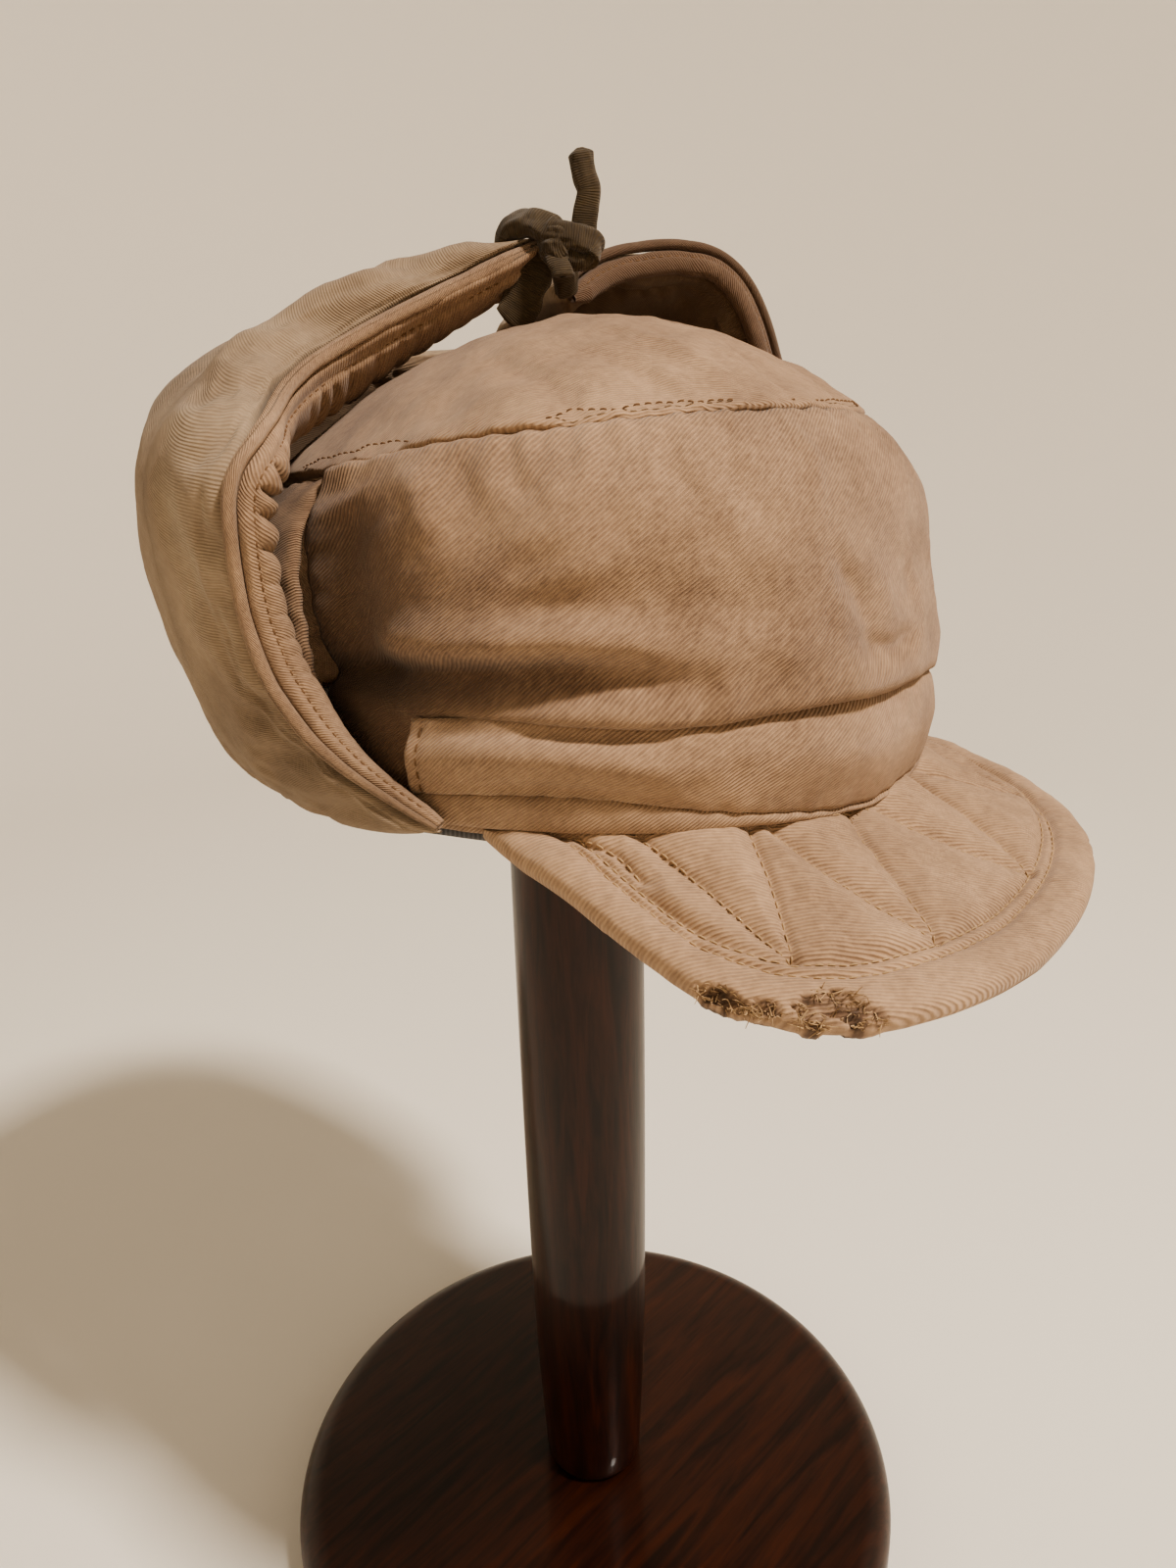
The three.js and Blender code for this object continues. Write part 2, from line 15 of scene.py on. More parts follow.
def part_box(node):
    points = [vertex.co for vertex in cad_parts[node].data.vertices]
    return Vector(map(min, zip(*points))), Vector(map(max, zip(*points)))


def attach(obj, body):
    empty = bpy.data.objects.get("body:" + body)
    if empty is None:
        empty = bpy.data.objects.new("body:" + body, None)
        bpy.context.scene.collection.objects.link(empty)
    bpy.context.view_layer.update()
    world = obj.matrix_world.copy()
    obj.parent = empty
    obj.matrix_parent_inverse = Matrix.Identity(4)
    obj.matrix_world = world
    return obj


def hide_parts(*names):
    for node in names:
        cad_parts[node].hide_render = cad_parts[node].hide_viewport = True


bl_info = {
    "name": "Winter field cap on a hat stand",
    "version": (1, 0, 0),
    "blender": (4, 5, 0),
    "location": "3D View > Sidebar > Winter cap",
    "description": "Makes the cloth, stitching, tape and wood of a padded winter cap on its stand",
    "category": "Add Mesh",
}

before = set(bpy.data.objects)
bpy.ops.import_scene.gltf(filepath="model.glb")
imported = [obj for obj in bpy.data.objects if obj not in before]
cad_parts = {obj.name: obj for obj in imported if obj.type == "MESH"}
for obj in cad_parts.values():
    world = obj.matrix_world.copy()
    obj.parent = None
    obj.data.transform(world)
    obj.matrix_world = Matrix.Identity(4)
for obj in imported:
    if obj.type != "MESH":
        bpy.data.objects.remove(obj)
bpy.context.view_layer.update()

MM = 0.001

# ---------------------------------------------------------------- the cap's sizes, in millimetres

CAP_HEIGHT = 301
CAP_SETBACK = 6
CAP_LEAN = 3.4
HEM_HALF_LENGTH = 100
HEM_HALF_WIDTH = 81
HEM_SQUARENESS = 2.3
HEM_DIP_AT_BACK = 16
SEWN_UNDER = 0.9  # how far under the hem plane the peak and the binding are sewn on
SEAM_HEIGHT = 76
SEAM_RISE_FORWARD = 0.17
CROWN_DOME = 34.5
TOP_NARROWING = 0.84  # half width of the crown's top against the hem's
CROWN_CLOTH = 2.6
WALL_HEIGHT = 92  # of the crown's side at the front, which turns shares of it into millimetres
DEGREE = 1.55  # round the hem line, which turns degrees into millimetres

# The crown's side wall: share of the hem line's reach at each share of its height.
PROFILE_RISE = [0, 0.12, 0.24, 0.34, 0.5, 0.66, 0.8, 0.91, 1]
PROFILE_FRONT = [1, 1, 0.98, 1.015, 1.01, 1, 0.965, 0.895, 0.805]
PROFILE_SIDE = [1, 1, 0.985, 1.01, 1.02, 1.02, 0.99, 0.935, 0.86]
PROFILE_BACK = [0.86, 0.9, 0.95, 0.985, 1, 0.995, 0.97, 0.92, 0.85]
SIDE_SEAM = (89, 95)  # degrees round, at the hem and at the top

BAND_END = 74.8
BAND_REACH = 1.022
STRIP_END = 82
# Heights over the hem plane at each number of degrees round from the front.
EDGE_AROUND = [0, 12, 24, 37, 49, 58, 66, 75, 84]
BAND_TOP = [29, 29.4, 28.2, 26.6, 26, 25.5, 24.4, 22.4, 21]
STRIP_TOP = [1.4, 3.4, 5.8, 8, 9.2, 8.6, 7.4, 5.2, 3]
HEM_WAVE = [0.4, 2, 3.1, 3, 3, 3, 3, 2.4, 1.5]  # how far the hem is drawn up where the peak is sewn on

PEAK_AROUND = [0, 10, 20, 26, 31, 35, 39, 44, 50, 58, 65]
PEAK_LENGTH = [54, 53.5, 52, 49, 44, 39, 32, 24, 15.5, 7.5, 0.6]
PEAK_DROOP = {"right": 38, "middle": 26, "left": 13, "reached_at": 45}

# The turned-up flap: every rib runs from the hem over belly and shoulder to the free edge, and gives at
# seven stations the degrees round, the share of the hem line's reach, and the height over the hem plane.
FLAP_RIBS_RIGHT = [
    ([69, 86, 92, 92, 94, 107, 110], [1.07, 1.09, 1.14, 1.18, 1.09, 0.76, 0.12],
     [-1, 13, 37, 65, 79, 99, 128]),
    ([80, 93, 102, 104, 102, 111, 113], [1.06, 1.1, 1.155, 1.19, 1.105, 0.81, 0.3],
     [-5, 12, 38, 67, 88, 105, 124]),
    ([96, 103, 109, 110, 111, 114, 124], [1.03, 1.08, 1.15, 1.18, 1.08, 0.81, 0.32],
     [-6, 11, 38, 65, 84.5, 101, 120]),
    ([111, 114, 118, 119, 120, 122, 129], [1, 1.06, 1.137, 1.183, 1.12, 0.95, 0.66],
     [-8, 11, 38, 64, 83, 97, 110]),
    ([127, 127, 127, 128, 130, 133, 138], [0.96, 1.03, 1.126, 1.178, 1.135, 1.04, 0.89],
     [-11, 9, 38, 62, 79, 92, 102]),
    ([152, 152, 152, 152, 153, 154, 157], [0.94, 1.03, 1.13, 1.16, 1.11, 1.03, 0.94],
     [-14, 8, 36, 61, 80, 94, 104]),
]
FLAP_RIB_BACK = ([180] * 7, [0.92, 1.02, 1.12, 1.14, 1.1, 1.03, 0.93], [-15, 8, 34, 59, 80, 95, 105])
FLAP_RIBS_LEFT = [
    ([69, 80, 86, 83, 87, 98, 120], [1.07, 1.11, 1.12, 0.94, 0.76, 0.45, 0.14],
     [-1, 18, 50, 94, 126, 128, 117]),
    ([80, 90, 96, 95, 100, 110, 134], [1.06, 1.1, 1.13, 1, 0.86, 0.53, 0.2],
     [-5, 15, 48, 90, 119, 126, 117]),
    ([96, 101, 105, 107, 113, 124, 140], [1.03, 1.085, 1.135, 1.07, 0.94, 0.66, 0.36],
     [-6, 14, 44, 80, 106, 117, 117]),
    ([111, 114, 118, 121, 126, 134, 147], [1, 1.06, 1.135, 1.11, 1.03, 0.88, 0.66],
     [-8, 12, 42, 73, 95, 107, 113]),
    ([127, 128, 129, 133, 136, 141, 148], [0.96, 1.035, 1.13, 1.14, 1.08, 1, 0.86],
     [-11, 10, 40, 66, 84, 98, 108]),
    ([152, 152, 152, 154, 156, 159, 163], [0.94, 1.03, 1.13, 1.15, 1.11, 1.03, 0.93],
     [-14, 8, 36, 61, 81, 95, 105]),
]

# Folds, as (path, half width, height): a path of (degrees round, share of the height) points. A height
# below nothing is a valley.
CROWN_FOLDS = [
    ([(92, 0.4), (77, 0.4), (66, 0.405), (54, 0.425), (42, 0.42), (33, 0.395)], 4.4, -6.5),
    ([(95, 0.38), (84, 0.39), (72, 0.4), (58, 0.42)], 7.5, -5.0),
    ([(78, 0.5), (66, 0.5), (54, 0.515), (43, 0.5), (34, 0.45)], 5.5, 4.0),
    ([(72, 0.335), (58, 0.345), (44, 0.35), (30, 0.36)], 3.6, 1.8),
    ([(90, 0.3), (87, 0.45), (86, 0.62), (87, 0.8), (90, 0.9)], 12, -7.0),
    ([(64, 0.57), (52, 0.58), (40, 0.56)], 4.5, -1.6),
    ([(70, 0.86), (65, 0.79), (60, 0.7)], 7.0, -1.6),
    ([(56, 0.9), (52, 0.76), (47, 0.62)], 8.0, 1.4),
    ([(78, 0.96), (74, 0.86), (71, 0.74)], 4.0, 1.6),
    ([(70, 0.98), (68, 0.9), (66, 0.84)], 3.0, -1.2),
    ([(84, 0.95), (82, 0.8), (83, 0.62)], 6.0, 1.1),
    ([(42, 0.62), (30, 0.56), (20, 0.6)], 6.0, -1.3),
    ([(30, 0.5), (20, 0.47), (12, 0.52)], 5.0, 1.2),
    ([(10, 0.66), (6, 0.56), (4, 0.44)], 3.0, -1.5),
    ([(2, 0.66), (0, 0.56), (0, 0.46)], 3.0, 1.2),
    ([(-6, 0.62), (-8, 0.52)], 3.4, -1.1),
    ([(-30, 0.6), (-42, 0.52), (-56, 0.5)], 7.0, -1.5),
    ([(-36, 0.42), (-55, 0.41), (-74, 0.4)], 5.0, -3.0),
    ([(-38, 0.5), (-55, 0.5), (-72, 0.48)], 6.0, 2.0),
    ([(30, 0.92), (24, 0.8), (20, 0.72)], 5.5, -0.9),
    ([(62, 0.99), (60, 0.9), (56, 0.82)], 3.0, -1.3),
    ([(50, 0.99), (49, 0.91), (50, 0.84)], 2.6, 0.9),
    ([(38, 0.98), (36, 0.88), (32, 0.8)], 3.2, -1.1),
    ([(12, 0.98), (10, 0.88), (13, 0.78)], 3.0, 1.0),
    ([(60, 0.64), (50, 0.66), (40, 0.7)], 4.0, 1.2),
    ([(8, 0.46), (0, 0.42), (-8, 0.46)], 2.6, -1.5),
    ([(14, 0.4), (4, 0.37), (-6, 0.4)], 2.6, 1.2),
]
TOP_CREASES = [
    ([(48, 1), (58, 0.8), (78, 0.62)], 4.0, -1.1),
    ([(30, 1), (34, 0.84), (44, 0.7)], 3.5, -1.2),
    ([(18, 1), (18, 0.86), (24, 0.68), (38, 0.5)], 4.5, 1.0),
    ([(6, 1), (2, 0.84), (0, 0.66)], 4.0, -1.1),
    ([(-14, 1), (-20, 0.8), (-40, 0.62)], 4.5, -1.0),
    ([(76, 1), (84, 0.82), (100, 0.7)], 5.0, 0.9),
    ([(-48, 1), (-60, 0.78)], 5.0, -1.0),
    ([(-80, 1), (-95, 0.75)], 6.0, 1.0),
]
BAND_FOLDS = [
    ([(74, 0.86), (60, 0.84), (48, 0.82), (34, 0.86)], 2.6, -2.2),
    ([(73, 0.52), (58, 0.56), (44, 0.52), (30, 0.5)], 3.6, 1.5),
    ([(66, 0.16), (50, 0.14), (38, 0.12)], 2.6, -1.4),
    ([(24, 0.6), (6, 0.5), (-12, 0.56)], 6.0, 1.4),
    ([(-30, 0.8), (-50, 0.82), (-70, 0.84)], 3.0, -1.6),
    ([(-34, 0.45), (-54, 0.5), (-70, 0.48)], 4.5, 1.3),
    ([(30, 0.3), (24, 0.5), (20, 0.72)], 3.5, -0.6),
]
LIP_HEIGHT = 3.6  # how far the crown hangs out over the top of the band
LIP_SAG = 2.6


def to_metres(points):
    """Points of the cap in the shared frame: leaned to the wearer's left, set back and lifted."""
    lean = math.radians(CAP_LEAN)
    x, y, z = points[..., 0], points[..., 1], points[..., 2]
    placed = np.stack([
        x * math.cos(lean) + z * math.sin(lean),
        y + CAP_SETBACK,
        z * math.cos(lean) - x * math.sin(lean) + CAP_HEIGHT,
    ], -1)
    return placed * MM


# ---------------------------------------------------------------- small maths

def ease(low, high, x):
    """0 at low, 1 at high and smooth between, either way round."""
    t = np.clip((np.asarray(x, float) - low) / (high - low), 0, 1)
    return t * t * (3 - 2 * t)


def bell(x):
    return np.exp(-np.square(x))


def lumps(points, size, seed):
    """Smooth unevenness from -1 to 1 whose lumps are about the given size."""
    q = np.asarray(points, float) / size + 17.31 * seed
    cell = np.floor(q).astype(np.int64)
    share = q - cell
    share = share ** 3 * (share * (share * 6 - 15) + 10)
    total = np.zeros(q.shape[:-1])
    for corner in np.ndindex(*(2,) * q.shape[-1]):
        weight = np.ones(q.shape[:-1])
        key = np.full(q.shape[:-1], seed * 374761393, np.int64)
        for axis, step in enumerate(corner):
            weight = weight * (share[..., axis] if step else 1 - share[..., axis])
            key = (key ^ (cell[..., axis] + step)) * 668265263 & 0x7FFFFFFF
            key = key ^ (key >> 13)
        total += weight * ((key & 0xFFFF) / 32767.5 - 1)
    return total


def rough(points, size, seed):
    """Lumps with finer lumps on them."""
    return sum(lumps(points, size / 2 ** k, seed + k) / 1.8 ** k for k in range(3))


def lengths_along(points):
    """Length of a polyline up to each of its points."""
    return np.concatenate([[0], np.cumsum(np.linalg.norm(np.diff(points, axis=0), axis=-1))])


def curve_through(values, t):
    """Catmull-Rom curve through equally spaced values, which are stacked along the first axis."""
    last = len(values) - 1
    span = np.clip(np.floor(t * last).astype(int), 0, last - 1)
    s = t * last - span
    ends = np.concatenate([[2 * values[0] - values[1]], values, [2 * values[-1] - values[-2]]])
    if ends.ndim == 1:
        a, b, c, d = (ends[span + k] for k in range(4))
    else:
        a, b, c, d = (np.take_along_axis(ends, (span + k)[None], 0)[0] for k in range(4))
    return between(a, b, c, d, s)


def curve_through_points(points, t):
    return np.stack([curve_through(column, t) for column in points.T], -1)


def between(a, b, c, d, s):
    """Catmull-Rom curve from b to c, with s from 0 to 1 and a and d the values on either side."""
    return b + 0.5 * s * (c - a + s * (2 * a - 5 * b + 4 * c - d + s * (3 * (b - c) + d - a)))


def look_up(xs, ys, x):
    """Smooth curve through a table's rows, with the slope at a row taken from its neighbours."""
    xs, ys = np.asarray(xs, float), np.asarray(ys, float)
    i = np.clip(np.searchsorted(xs, x, side="right") - 1, 0, len(xs) - 2)
    before, after = np.maximum(i - 1, 0), np.minimum(i + 2, len(xs) - 1)
    width = xs[i + 1] - xs[i]
    t = np.clip((x - xs[i]) / width, 0, 1)
    slope_here = (ys[i + 1] - ys[before]) / (xs[i + 1] - xs[before]) * width
    slope_next = (ys[after] - ys[i]) / (xs[after] - xs[i]) * width
    return ((2 * t ** 3 - 3 * t ** 2 + 1) * ys[i] + (t ** 3 - 2 * t ** 2 + t) * slope_here
            + (3 * t ** 2 - 2 * t ** 3) * ys[i + 1] + (t ** 3 - t ** 2) * slope_next)


def unit(vectors):
    return vectors / np.linalg.norm(vectors, axis=-1, keepdims=True)


def normals_of(surface, u, v, step=1e-3):
    along = surface(u + step, v) - surface(u - step, v)
    up = surface(u, v + step) - surface(u, v - step)
    return unit(np.cross(up, along))


def near_path(path, x, y):
    """Distance from each point to a path, and how far along the path its nearest point is, from 0 to 1."""
    best = np.full(np.shape(x), 1e9)
    share = np.zeros(np.shape(x))
    path = np.asarray(path, float)
    for k, (a, b) in enumerate(zip(path[:-1], path[1:])):
        d = b - a
        t = np.clip(((x - a[0]) * d[0] + (y - a[1]) * d[1]) / (d @ d), 0, 1)
        gap = np.hypot(x - a[0] - t * d[0], y - a[1] - t * d[1])
        share = np.where(gap < best, (k + t) / (len(path) - 1), share)
        best = np.minimum(best, gap)
    return best, share


def folds_at(folds, x, y, scale=(1, 1)):
    """Height of all folds of a table at the places x, y. The scale takes the table's units to theirs."""
    total = np.zeros(np.shape(x))
    for path, half_width, tall in folds:
        gap, along = near_path(np.multiply(path, scale), x, y)
        total += tall * bell(gap / half_width) * np.sin(np.pi * np.clip(along, 0.06, 0.94)) ** 0.6
    return total


def fold_relief(folds, around, rise, height):
    """The folds of a table of degrees round and shares of a height, given in millimetres."""
    return folds_at(folds, around * DEGREE, rise * height, (DEGREE, height))


# ---------------------------------------------------------------- the cap's surfaces

def cap_point(around, reach, up):
    c, s = np.cos(np.radians(around)), np.sin(np.radians(around))
    power = 2 / HEM_SQUARENESS
    return np.stack(np.broadcast_arrays(
        -HEM_HALF_WIDTH * reach * np.sign(s) * np.abs(s) ** power,
        -HEM_HALF_LENGTH * reach * np.sign(c) * np.abs(c) ** power,
        up,
    ), -1)


def edge_height(table, around):
    return look_up(EDGE_AROUND, table, np.clip(np.abs(around), 0, EDGE_AROUND[-1]))


def hem_up(around):
    return -HEM_DIP_AT_BACK * ((1 - np.cos(np.radians(around))) / 2) ** 1.5


def sewn_up(around):
    """Height where the peak and the binding are sewn on."""
    return hem_up(around) - SEWN_UNDER + edge_height(HEM_WAVE, around)


def profile_reach(around, rise):
    c = np.cos(np.radians(around))
    front, back = np.maximum(c, 0) ** 2, np.maximum(-c, 0)
    return (front * look_up(PROFILE_RISE, PROFILE_FRONT, rise)
            + back * look_up(PROFILE_RISE, PROFILE_BACK, rise)
            + (1 - front - back) * look_up(PROFILE_RISE, PROFILE_SIDE, rise))


def seam_up(y):
    return SEAM_HEIGHT - SEAM_RISE_FORWARD * y


def crown_wall(around, rise):
    seam = cap_point(around, profile_reach(around, 1.0), 0.0)
    up = hem_up(around) * (1 - rise) + seam_up(seam[..., 1]) * rise
    return cap_point(around, profile_reach(around, rise), up)


def crown_top(around, share):
    flat = cap_point(around, profile_reach(around, 1.0) * share, 0.0)
    flat[..., 2] = seam_up(flat[..., 1]) + CROWN_DOME * (1 - share ** 2)
    return flat


def peak_face(around, share):
    root = cap_point(around, 1.0, sewn_up(around))
    along = unit(cap_point(around + 0.1, 1.0, 0.0) - cap_point(around - 0.1, 1.0, 0.0))
    out = np.stack([along[..., 1], -along[..., 0], 0 * along[..., 0]], -1)
    out = out * np.sign((out * root).sum(-1, keepdims=True))
    side = np.clip(around / PEAK_DROOP["reached_at"], -1, 1)
    edge = np.where(side > 0, PEAK_DROOP["right"], PEAK_DROOP["left"])
    droop = np.radians(PEAK_DROOP["middle"] + (edge - PEAK_DROOP["middle"]) * np.abs(side))
    run = look_up(PEAK_AROUND, PEAK_LENGTH, np.abs(around)) * share
    face = root + out * (run * np.cos(droop))[..., None]
    face[..., 2] = root[..., 2] - run * np.sin(droop)
    return face


LOBE_STRETCH = (5.4, -2.4, 3.0)  # how the tie draws out the tip of the right lobe
FLAP_RIBS = [*FLAP_RIBS_RIGHT, FLAP_RIB_BACK,
             *[([360 - a for a in around], reach, up) for around, reach, up in reversed(FLAP_RIBS_LEFT)]]


def flap_middle(u, v):
    """Middle of the flap's thickness: u from the right front edge round the back to the left one, v from
    the hem to the free edge."""
    u, v = np.broadcast_arrays(np.asarray(u, float), np.asarray(v, float))
    middle = cap_point(*(
        curve_through(np.stack([curve_through(np.asarray(rib[k], float), v) for rib in FLAP_RIBS]), u)
        for k in range(3)
    ))
    near_tip = ease(0.72, 1, v) * ease(0.14, 0.02, u)
    return middle + near_tip[..., None] * LOBE_STRETCH


# ---------------------------------------------------------------- meshes

def grid_quads(rows, columns, start=0, closed_rows=False, closed_columns=False):
    r = np.arange(rows if closed_rows else rows - 1)
    c = np.arange(columns if closed_columns else columns - 1)
    r, c = np.meshgrid(r, c, indexing="ij")
    r2, c2 = (r + 1) % rows, (c + 1) % columns
    quads = np.stack([r * columns + c, r2 * columns + c, r2 * columns + c2, r * columns + c2], -1)
    return quads.reshape(-1, 4) + start


def turned_outward(points, faces):
    """Quads turned to face out of the body that they close."""
    p = points[faces]
    volume = (np.cross(p[:, 0], p[:, 1]) * p[:, 2]).sum() + (np.cross(p[:, 0], p[:, 2]) * p[:, 3]).sum()
    return faces if volume > 0 else faces[:, ::-1]


def new_mesh(name, points, faces, material=None):
    """A smooth-shaded mesh in metres."""
    mesh = bpy.data.meshes.new(name)
    mesh.from_pydata(points.reshape(-1, 3).tolist(), [], [list(face) for face in faces])
    mesh.polygons.foreach_set("use_smooth", np.ones(len(mesh.polygons), bool))
    if material:
        mesh.materials.append(material)
    return mesh


def add_object(name, data):
    thing = bpy.data.objects.new(name, data)
    bpy.context.scene.collection.objects.link(thing)
    return thing


def make_piece(name, points, faces, material, replaces=(), attributes=None):
    """A mesh piece that rides on the part's one body. The attributes are named numbers or vectors for each
    point, which the materials read."""
    mesh = new_mesh(name, points, faces, material)
    for key, values in (attributes or {}).items():
        values = np.asarray(values, np.float32)
        if values.shape[-1:] == (3,) and values.size == 3 * len(mesh.vertices):
            mesh.attributes.new(key, "FLOAT_VECTOR", "POINT").data.foreach_set("vector", values.ravel())
        else:
            mesh.attributes.new(key, "FLOAT", "POINT").data.foreach_set("value", values.ravel())
    mesh.validate()
    piece = add_object(name, mesh)
    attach(piece, "root")
    if replaces:
        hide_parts(*replaces)
    return piece


def two_sided(outer, inner, outer_data, inner_data):
    """Points, faces and attributes of a body between two grids of points that share their border."""
    rows, columns = outer.shape[:2]
    count = rows * columns
    points = np.concatenate([outer.reshape(-1, 3), inner.reshape(-1, 3)])
    faces = [grid_quads(rows, columns), grid_quads(rows, columns, count)[:, ::-1]]
    index = np.arange(count).reshape(rows, columns)
    for side, flip in ((index[0], False), (index[-1], True), (index[:, 0], True), (index[:, -1], False)):
        strip = np.stack([side[:-1], side[1:], side[1:] + count, side[:-1] + count], -1)
        faces.append(strip[:, ::-1] if flip else strip)
    faces = np.concatenate(faces)
    data = {}
    for key in outer_data:
        shape = (3,) if np.shape(outer_data[key])[-1:] == (3,) else ()
        data[key] = np.concatenate([
            np.broadcast_to(values, (rows, columns, *shape)).reshape(count, *shape)
            for values in (outer_data[key], inner_data[key])
        ])
    return points, turned_outward(points, faces), data


def ring_body(rings):
    """Points and faces of a closed body through rings of points, each end closed by one face."""
    count, sides = rings.shape[:2]
    points = rings.reshape(-1, 3)
    walls = grid_quads(count, sides, closed_columns=True)
    outward = turned_outward(points, walls)
    last = np.arange(sides) + (count - 1) * sides
    ends = [np.arange(sides)[::-1], last]
    if outward[0, 0] != walls[0, 0]:
        ends = [end[::-1] for end in ends]
    return points, [*outward.tolist(), *(end.tolist() for end in ends)]


def joined(bodies):
    """Points and faces of many closed bodies, each given as its rings of points."""
    points, faces, start = [], [], 0
    for rings in bodies:
        ring_points, ring_faces = ring_body(rings)
        points.append(ring_points)
        faces += [[k + start for k in face] for face in ring_faces]
        start += len(ring_points)
    return np.concatenate(points), faces


def lay_of(points):
    """How far each grid point lies along the cloth, in millimetres: along the rows, and up the columns."""
    along = np.linalg.norm(np.diff(points, axis=0), axis=-1)
    up = np.linalg.norm(np.diff(points, axis=1), axis=-1)
    x = np.concatenate([np.zeros((1, points.shape[1])), np.cumsum(along, 0)], 0)
    y = np.concatenate([np.zeros((points.shape[0], 1)), np.cumsum(up, 1)], 1)
    return np.stack([x - x[len(x) // 2], y, 0 * x], -1)


def rounding(distance, radius):
    """How far a rounded edge has dropped at a distance in from the edge."""
    t = np.clip(distance / radius, 0, 1)
    return radius * (1 - np.sqrt(1 - (1 - t) ** 2))


def cloth_panel(name, surface, us, vs, relief, thickness, material, replaces, edge, lay=None,
                sag=None, tone=None):
    """A panel of cloth: its outer face is surface(u, v) raised by relief(u, v), and its inner face lies the
    thickness behind. Its four edges are rounded over, and sag lets the outer face hang down."""
    u, v = np.meshgrid(us, vs, indexing="ij")
    base, normal = surface(u, v), normals_of(surface, u, v)
    x, y = np.moveaxis(lay_of(base), -1, 0)[:2]
    inset = np.minimum(np.minimum(x - x[:1], x[-1:] - x), np.minimum(y, y[:, -1:] - y))
    drop = rounding(inset, edge)
    raised = relief(u, v)
    outer = base + normal * (raised - drop)[..., None]
    if sag:
        outer[..., 2] -= sag(u, v)
    inner = base + normal * (np.minimum(0.3 * raised, raised) - thickness + 0.5 * drop)[..., None]
    data = {"lay": lay_of(base) if lay is None else lay(base),
            "tone": np.zeros(u.shape) if tone is None else tone(u, v)}
    points, faces, data = two_sided(outer, inner, data, data)
    return make_piece(name, to_metres(points), faces, material, replaces, data)


# ---------------------------------------------------------------- padding that fills out

SETTLE_FRAMES = 20
PADDING_PRESSURE = 4.0
SPARE_CLOTH = 0.045  # share by which the cloth is larger than the shape it starts from
MOST_PUSHED = 2.4  # how far a point may move, in millimetres
TRIAL_SCALE = 10  # how many times as large the simulated copy is


def fill_out(outer, inner, pinned):
    """How far the padding pushes the two faces of a quilted panel out, from a cloth simulation of a coarse
    copy of it. Both faces are grids of points in millimetres, and pinned holds a grid of how firmly each
    point is sewn down. The cloth has some to spare, so it wrinkles beside its seams."""
    points, faces, data = two_sided(outer, inner, {"pinned": pinned}, {"pinned": pinned})
    mesh = new_mesh("filling", points * MM * TRIAL_SCALE, faces)
    filling = add_object("filling", mesh)
    group = filling.vertex_groups.new(name="sewn")
    for k, weight in enumerate(data["pinned"]):
        if weight > 0.01:
            group.add([k], float(weight), "REPLACE")
    cloth = filling.modifiers.new("cloth", "CLOTH")
    settings = cloth.settings
    settings.vertex_group_mass = "sewn"
    settings.use_pressure, settings.uniform_pressure_force = True, PADDING_PRESSURE
    settings.shrink_min = -SPARE_CLOTH
    settings.quality, settings.time_scale = 6, 0.6
    settings.tension_stiffness = settings.compression_stiffness = 12
    settings.bending_stiffness, settings.air_damping = 0.4, 4
    settings.effector_weights.gravity = 0
    cloth.collision_settings.use_collision = False
    cloth.point_cache.frame_start, cloth.point_cache.frame_end = 1, SETTLE_FRAMES
    scene = bpy.context.scene
    for number in range(1, SETTLE_FRAMES + 1):
        scene.frame_set(number)
    settled = filling.evaluated_get(bpy.context.evaluated_depsgraph_get()).to_mesh()
    moved = np.empty(3 * len(settled.vertices))
    settled.vertices.foreach_get("co", moved)
    moved = moved.reshape(-1, 3) / (MM * TRIAL_SCALE) - points
    bpy.data.objects.remove(filling)
    bpy.data.meshes.remove(mesh)
    scene.frame_set(1)
    reach = np.linalg.norm(moved, axis=-1, keepdims=True)
    moved = moved * np.tanh(reach / MOST_PUSHED) * MOST_PUSHED / np.maximum(reach, 1e-6)
    count = outer.shape[0] * outer.shape[1]
    return moved[:count].reshape(outer.shape), moved[count:].reshape(outer.shape)


def spread_over(coarse, rows, columns):
    """A coarse grid of vectors taken smoothly to a finer grid of rows and columns."""
    for count in (rows, columns):
        at = np.linspace(0, len(coarse) - 1, count)
        span = np.clip(at.astype(int), 0, len(coarse) - 2)
        ends = np.concatenate([2 * coarse[:1] - coarse[1:2], coarse, 2 * coarse[-1:] - coarse[-2:-1]])
        coarse = between(*(ends[span + k] for k in range(4)), (at - span)[:, None, None]).swapaxes(0, 1)
    return coarse


# ---------------------------------------------------------------- stitches

def spaced(points, step):
    """Points along a polyline at equal steps."""
    lengths = lengths_along(points)
    count = max(int(lengths[-1] / step), 1)
    at = np.linspace(0, lengths[-1], count + 1)
    return np.stack([np.interp(at, lengths, points[:, k]) for k in range(3)], -1)


def stitch_rings(points, normals, length, width, lift):
    """Rings of one small arched thread for each point but the last, running towards the next point."""
    start, way = points[:-1], points[1:] - points[:-1]
    way = unit(way) * length
    normal = unit(normals[:-1])
    side = unit(np.cross(way, normal))
    along = np.array([0, 0.12, 0.5, 0.88, 1])
    arch = np.array([-0.5, 0.55, 1, 0.55, -0.5]) * lift
    girth = np.array([0.35, 0.9, 1, 0.9, 0.35]) * width / 2
    turn = np.radians(np.arange(0, 360, 60))
    centre = start[:, None] + way[:, None] * along[:, None] + normal[:, None] * arch[:, None]
    ring = (side[:, None, None] * np.cos(turn)[:, None] + normal[:, None, None] * np.sin(turn)[:, None])
    return centre[:, :, None] + ring * girth[:, None, None]


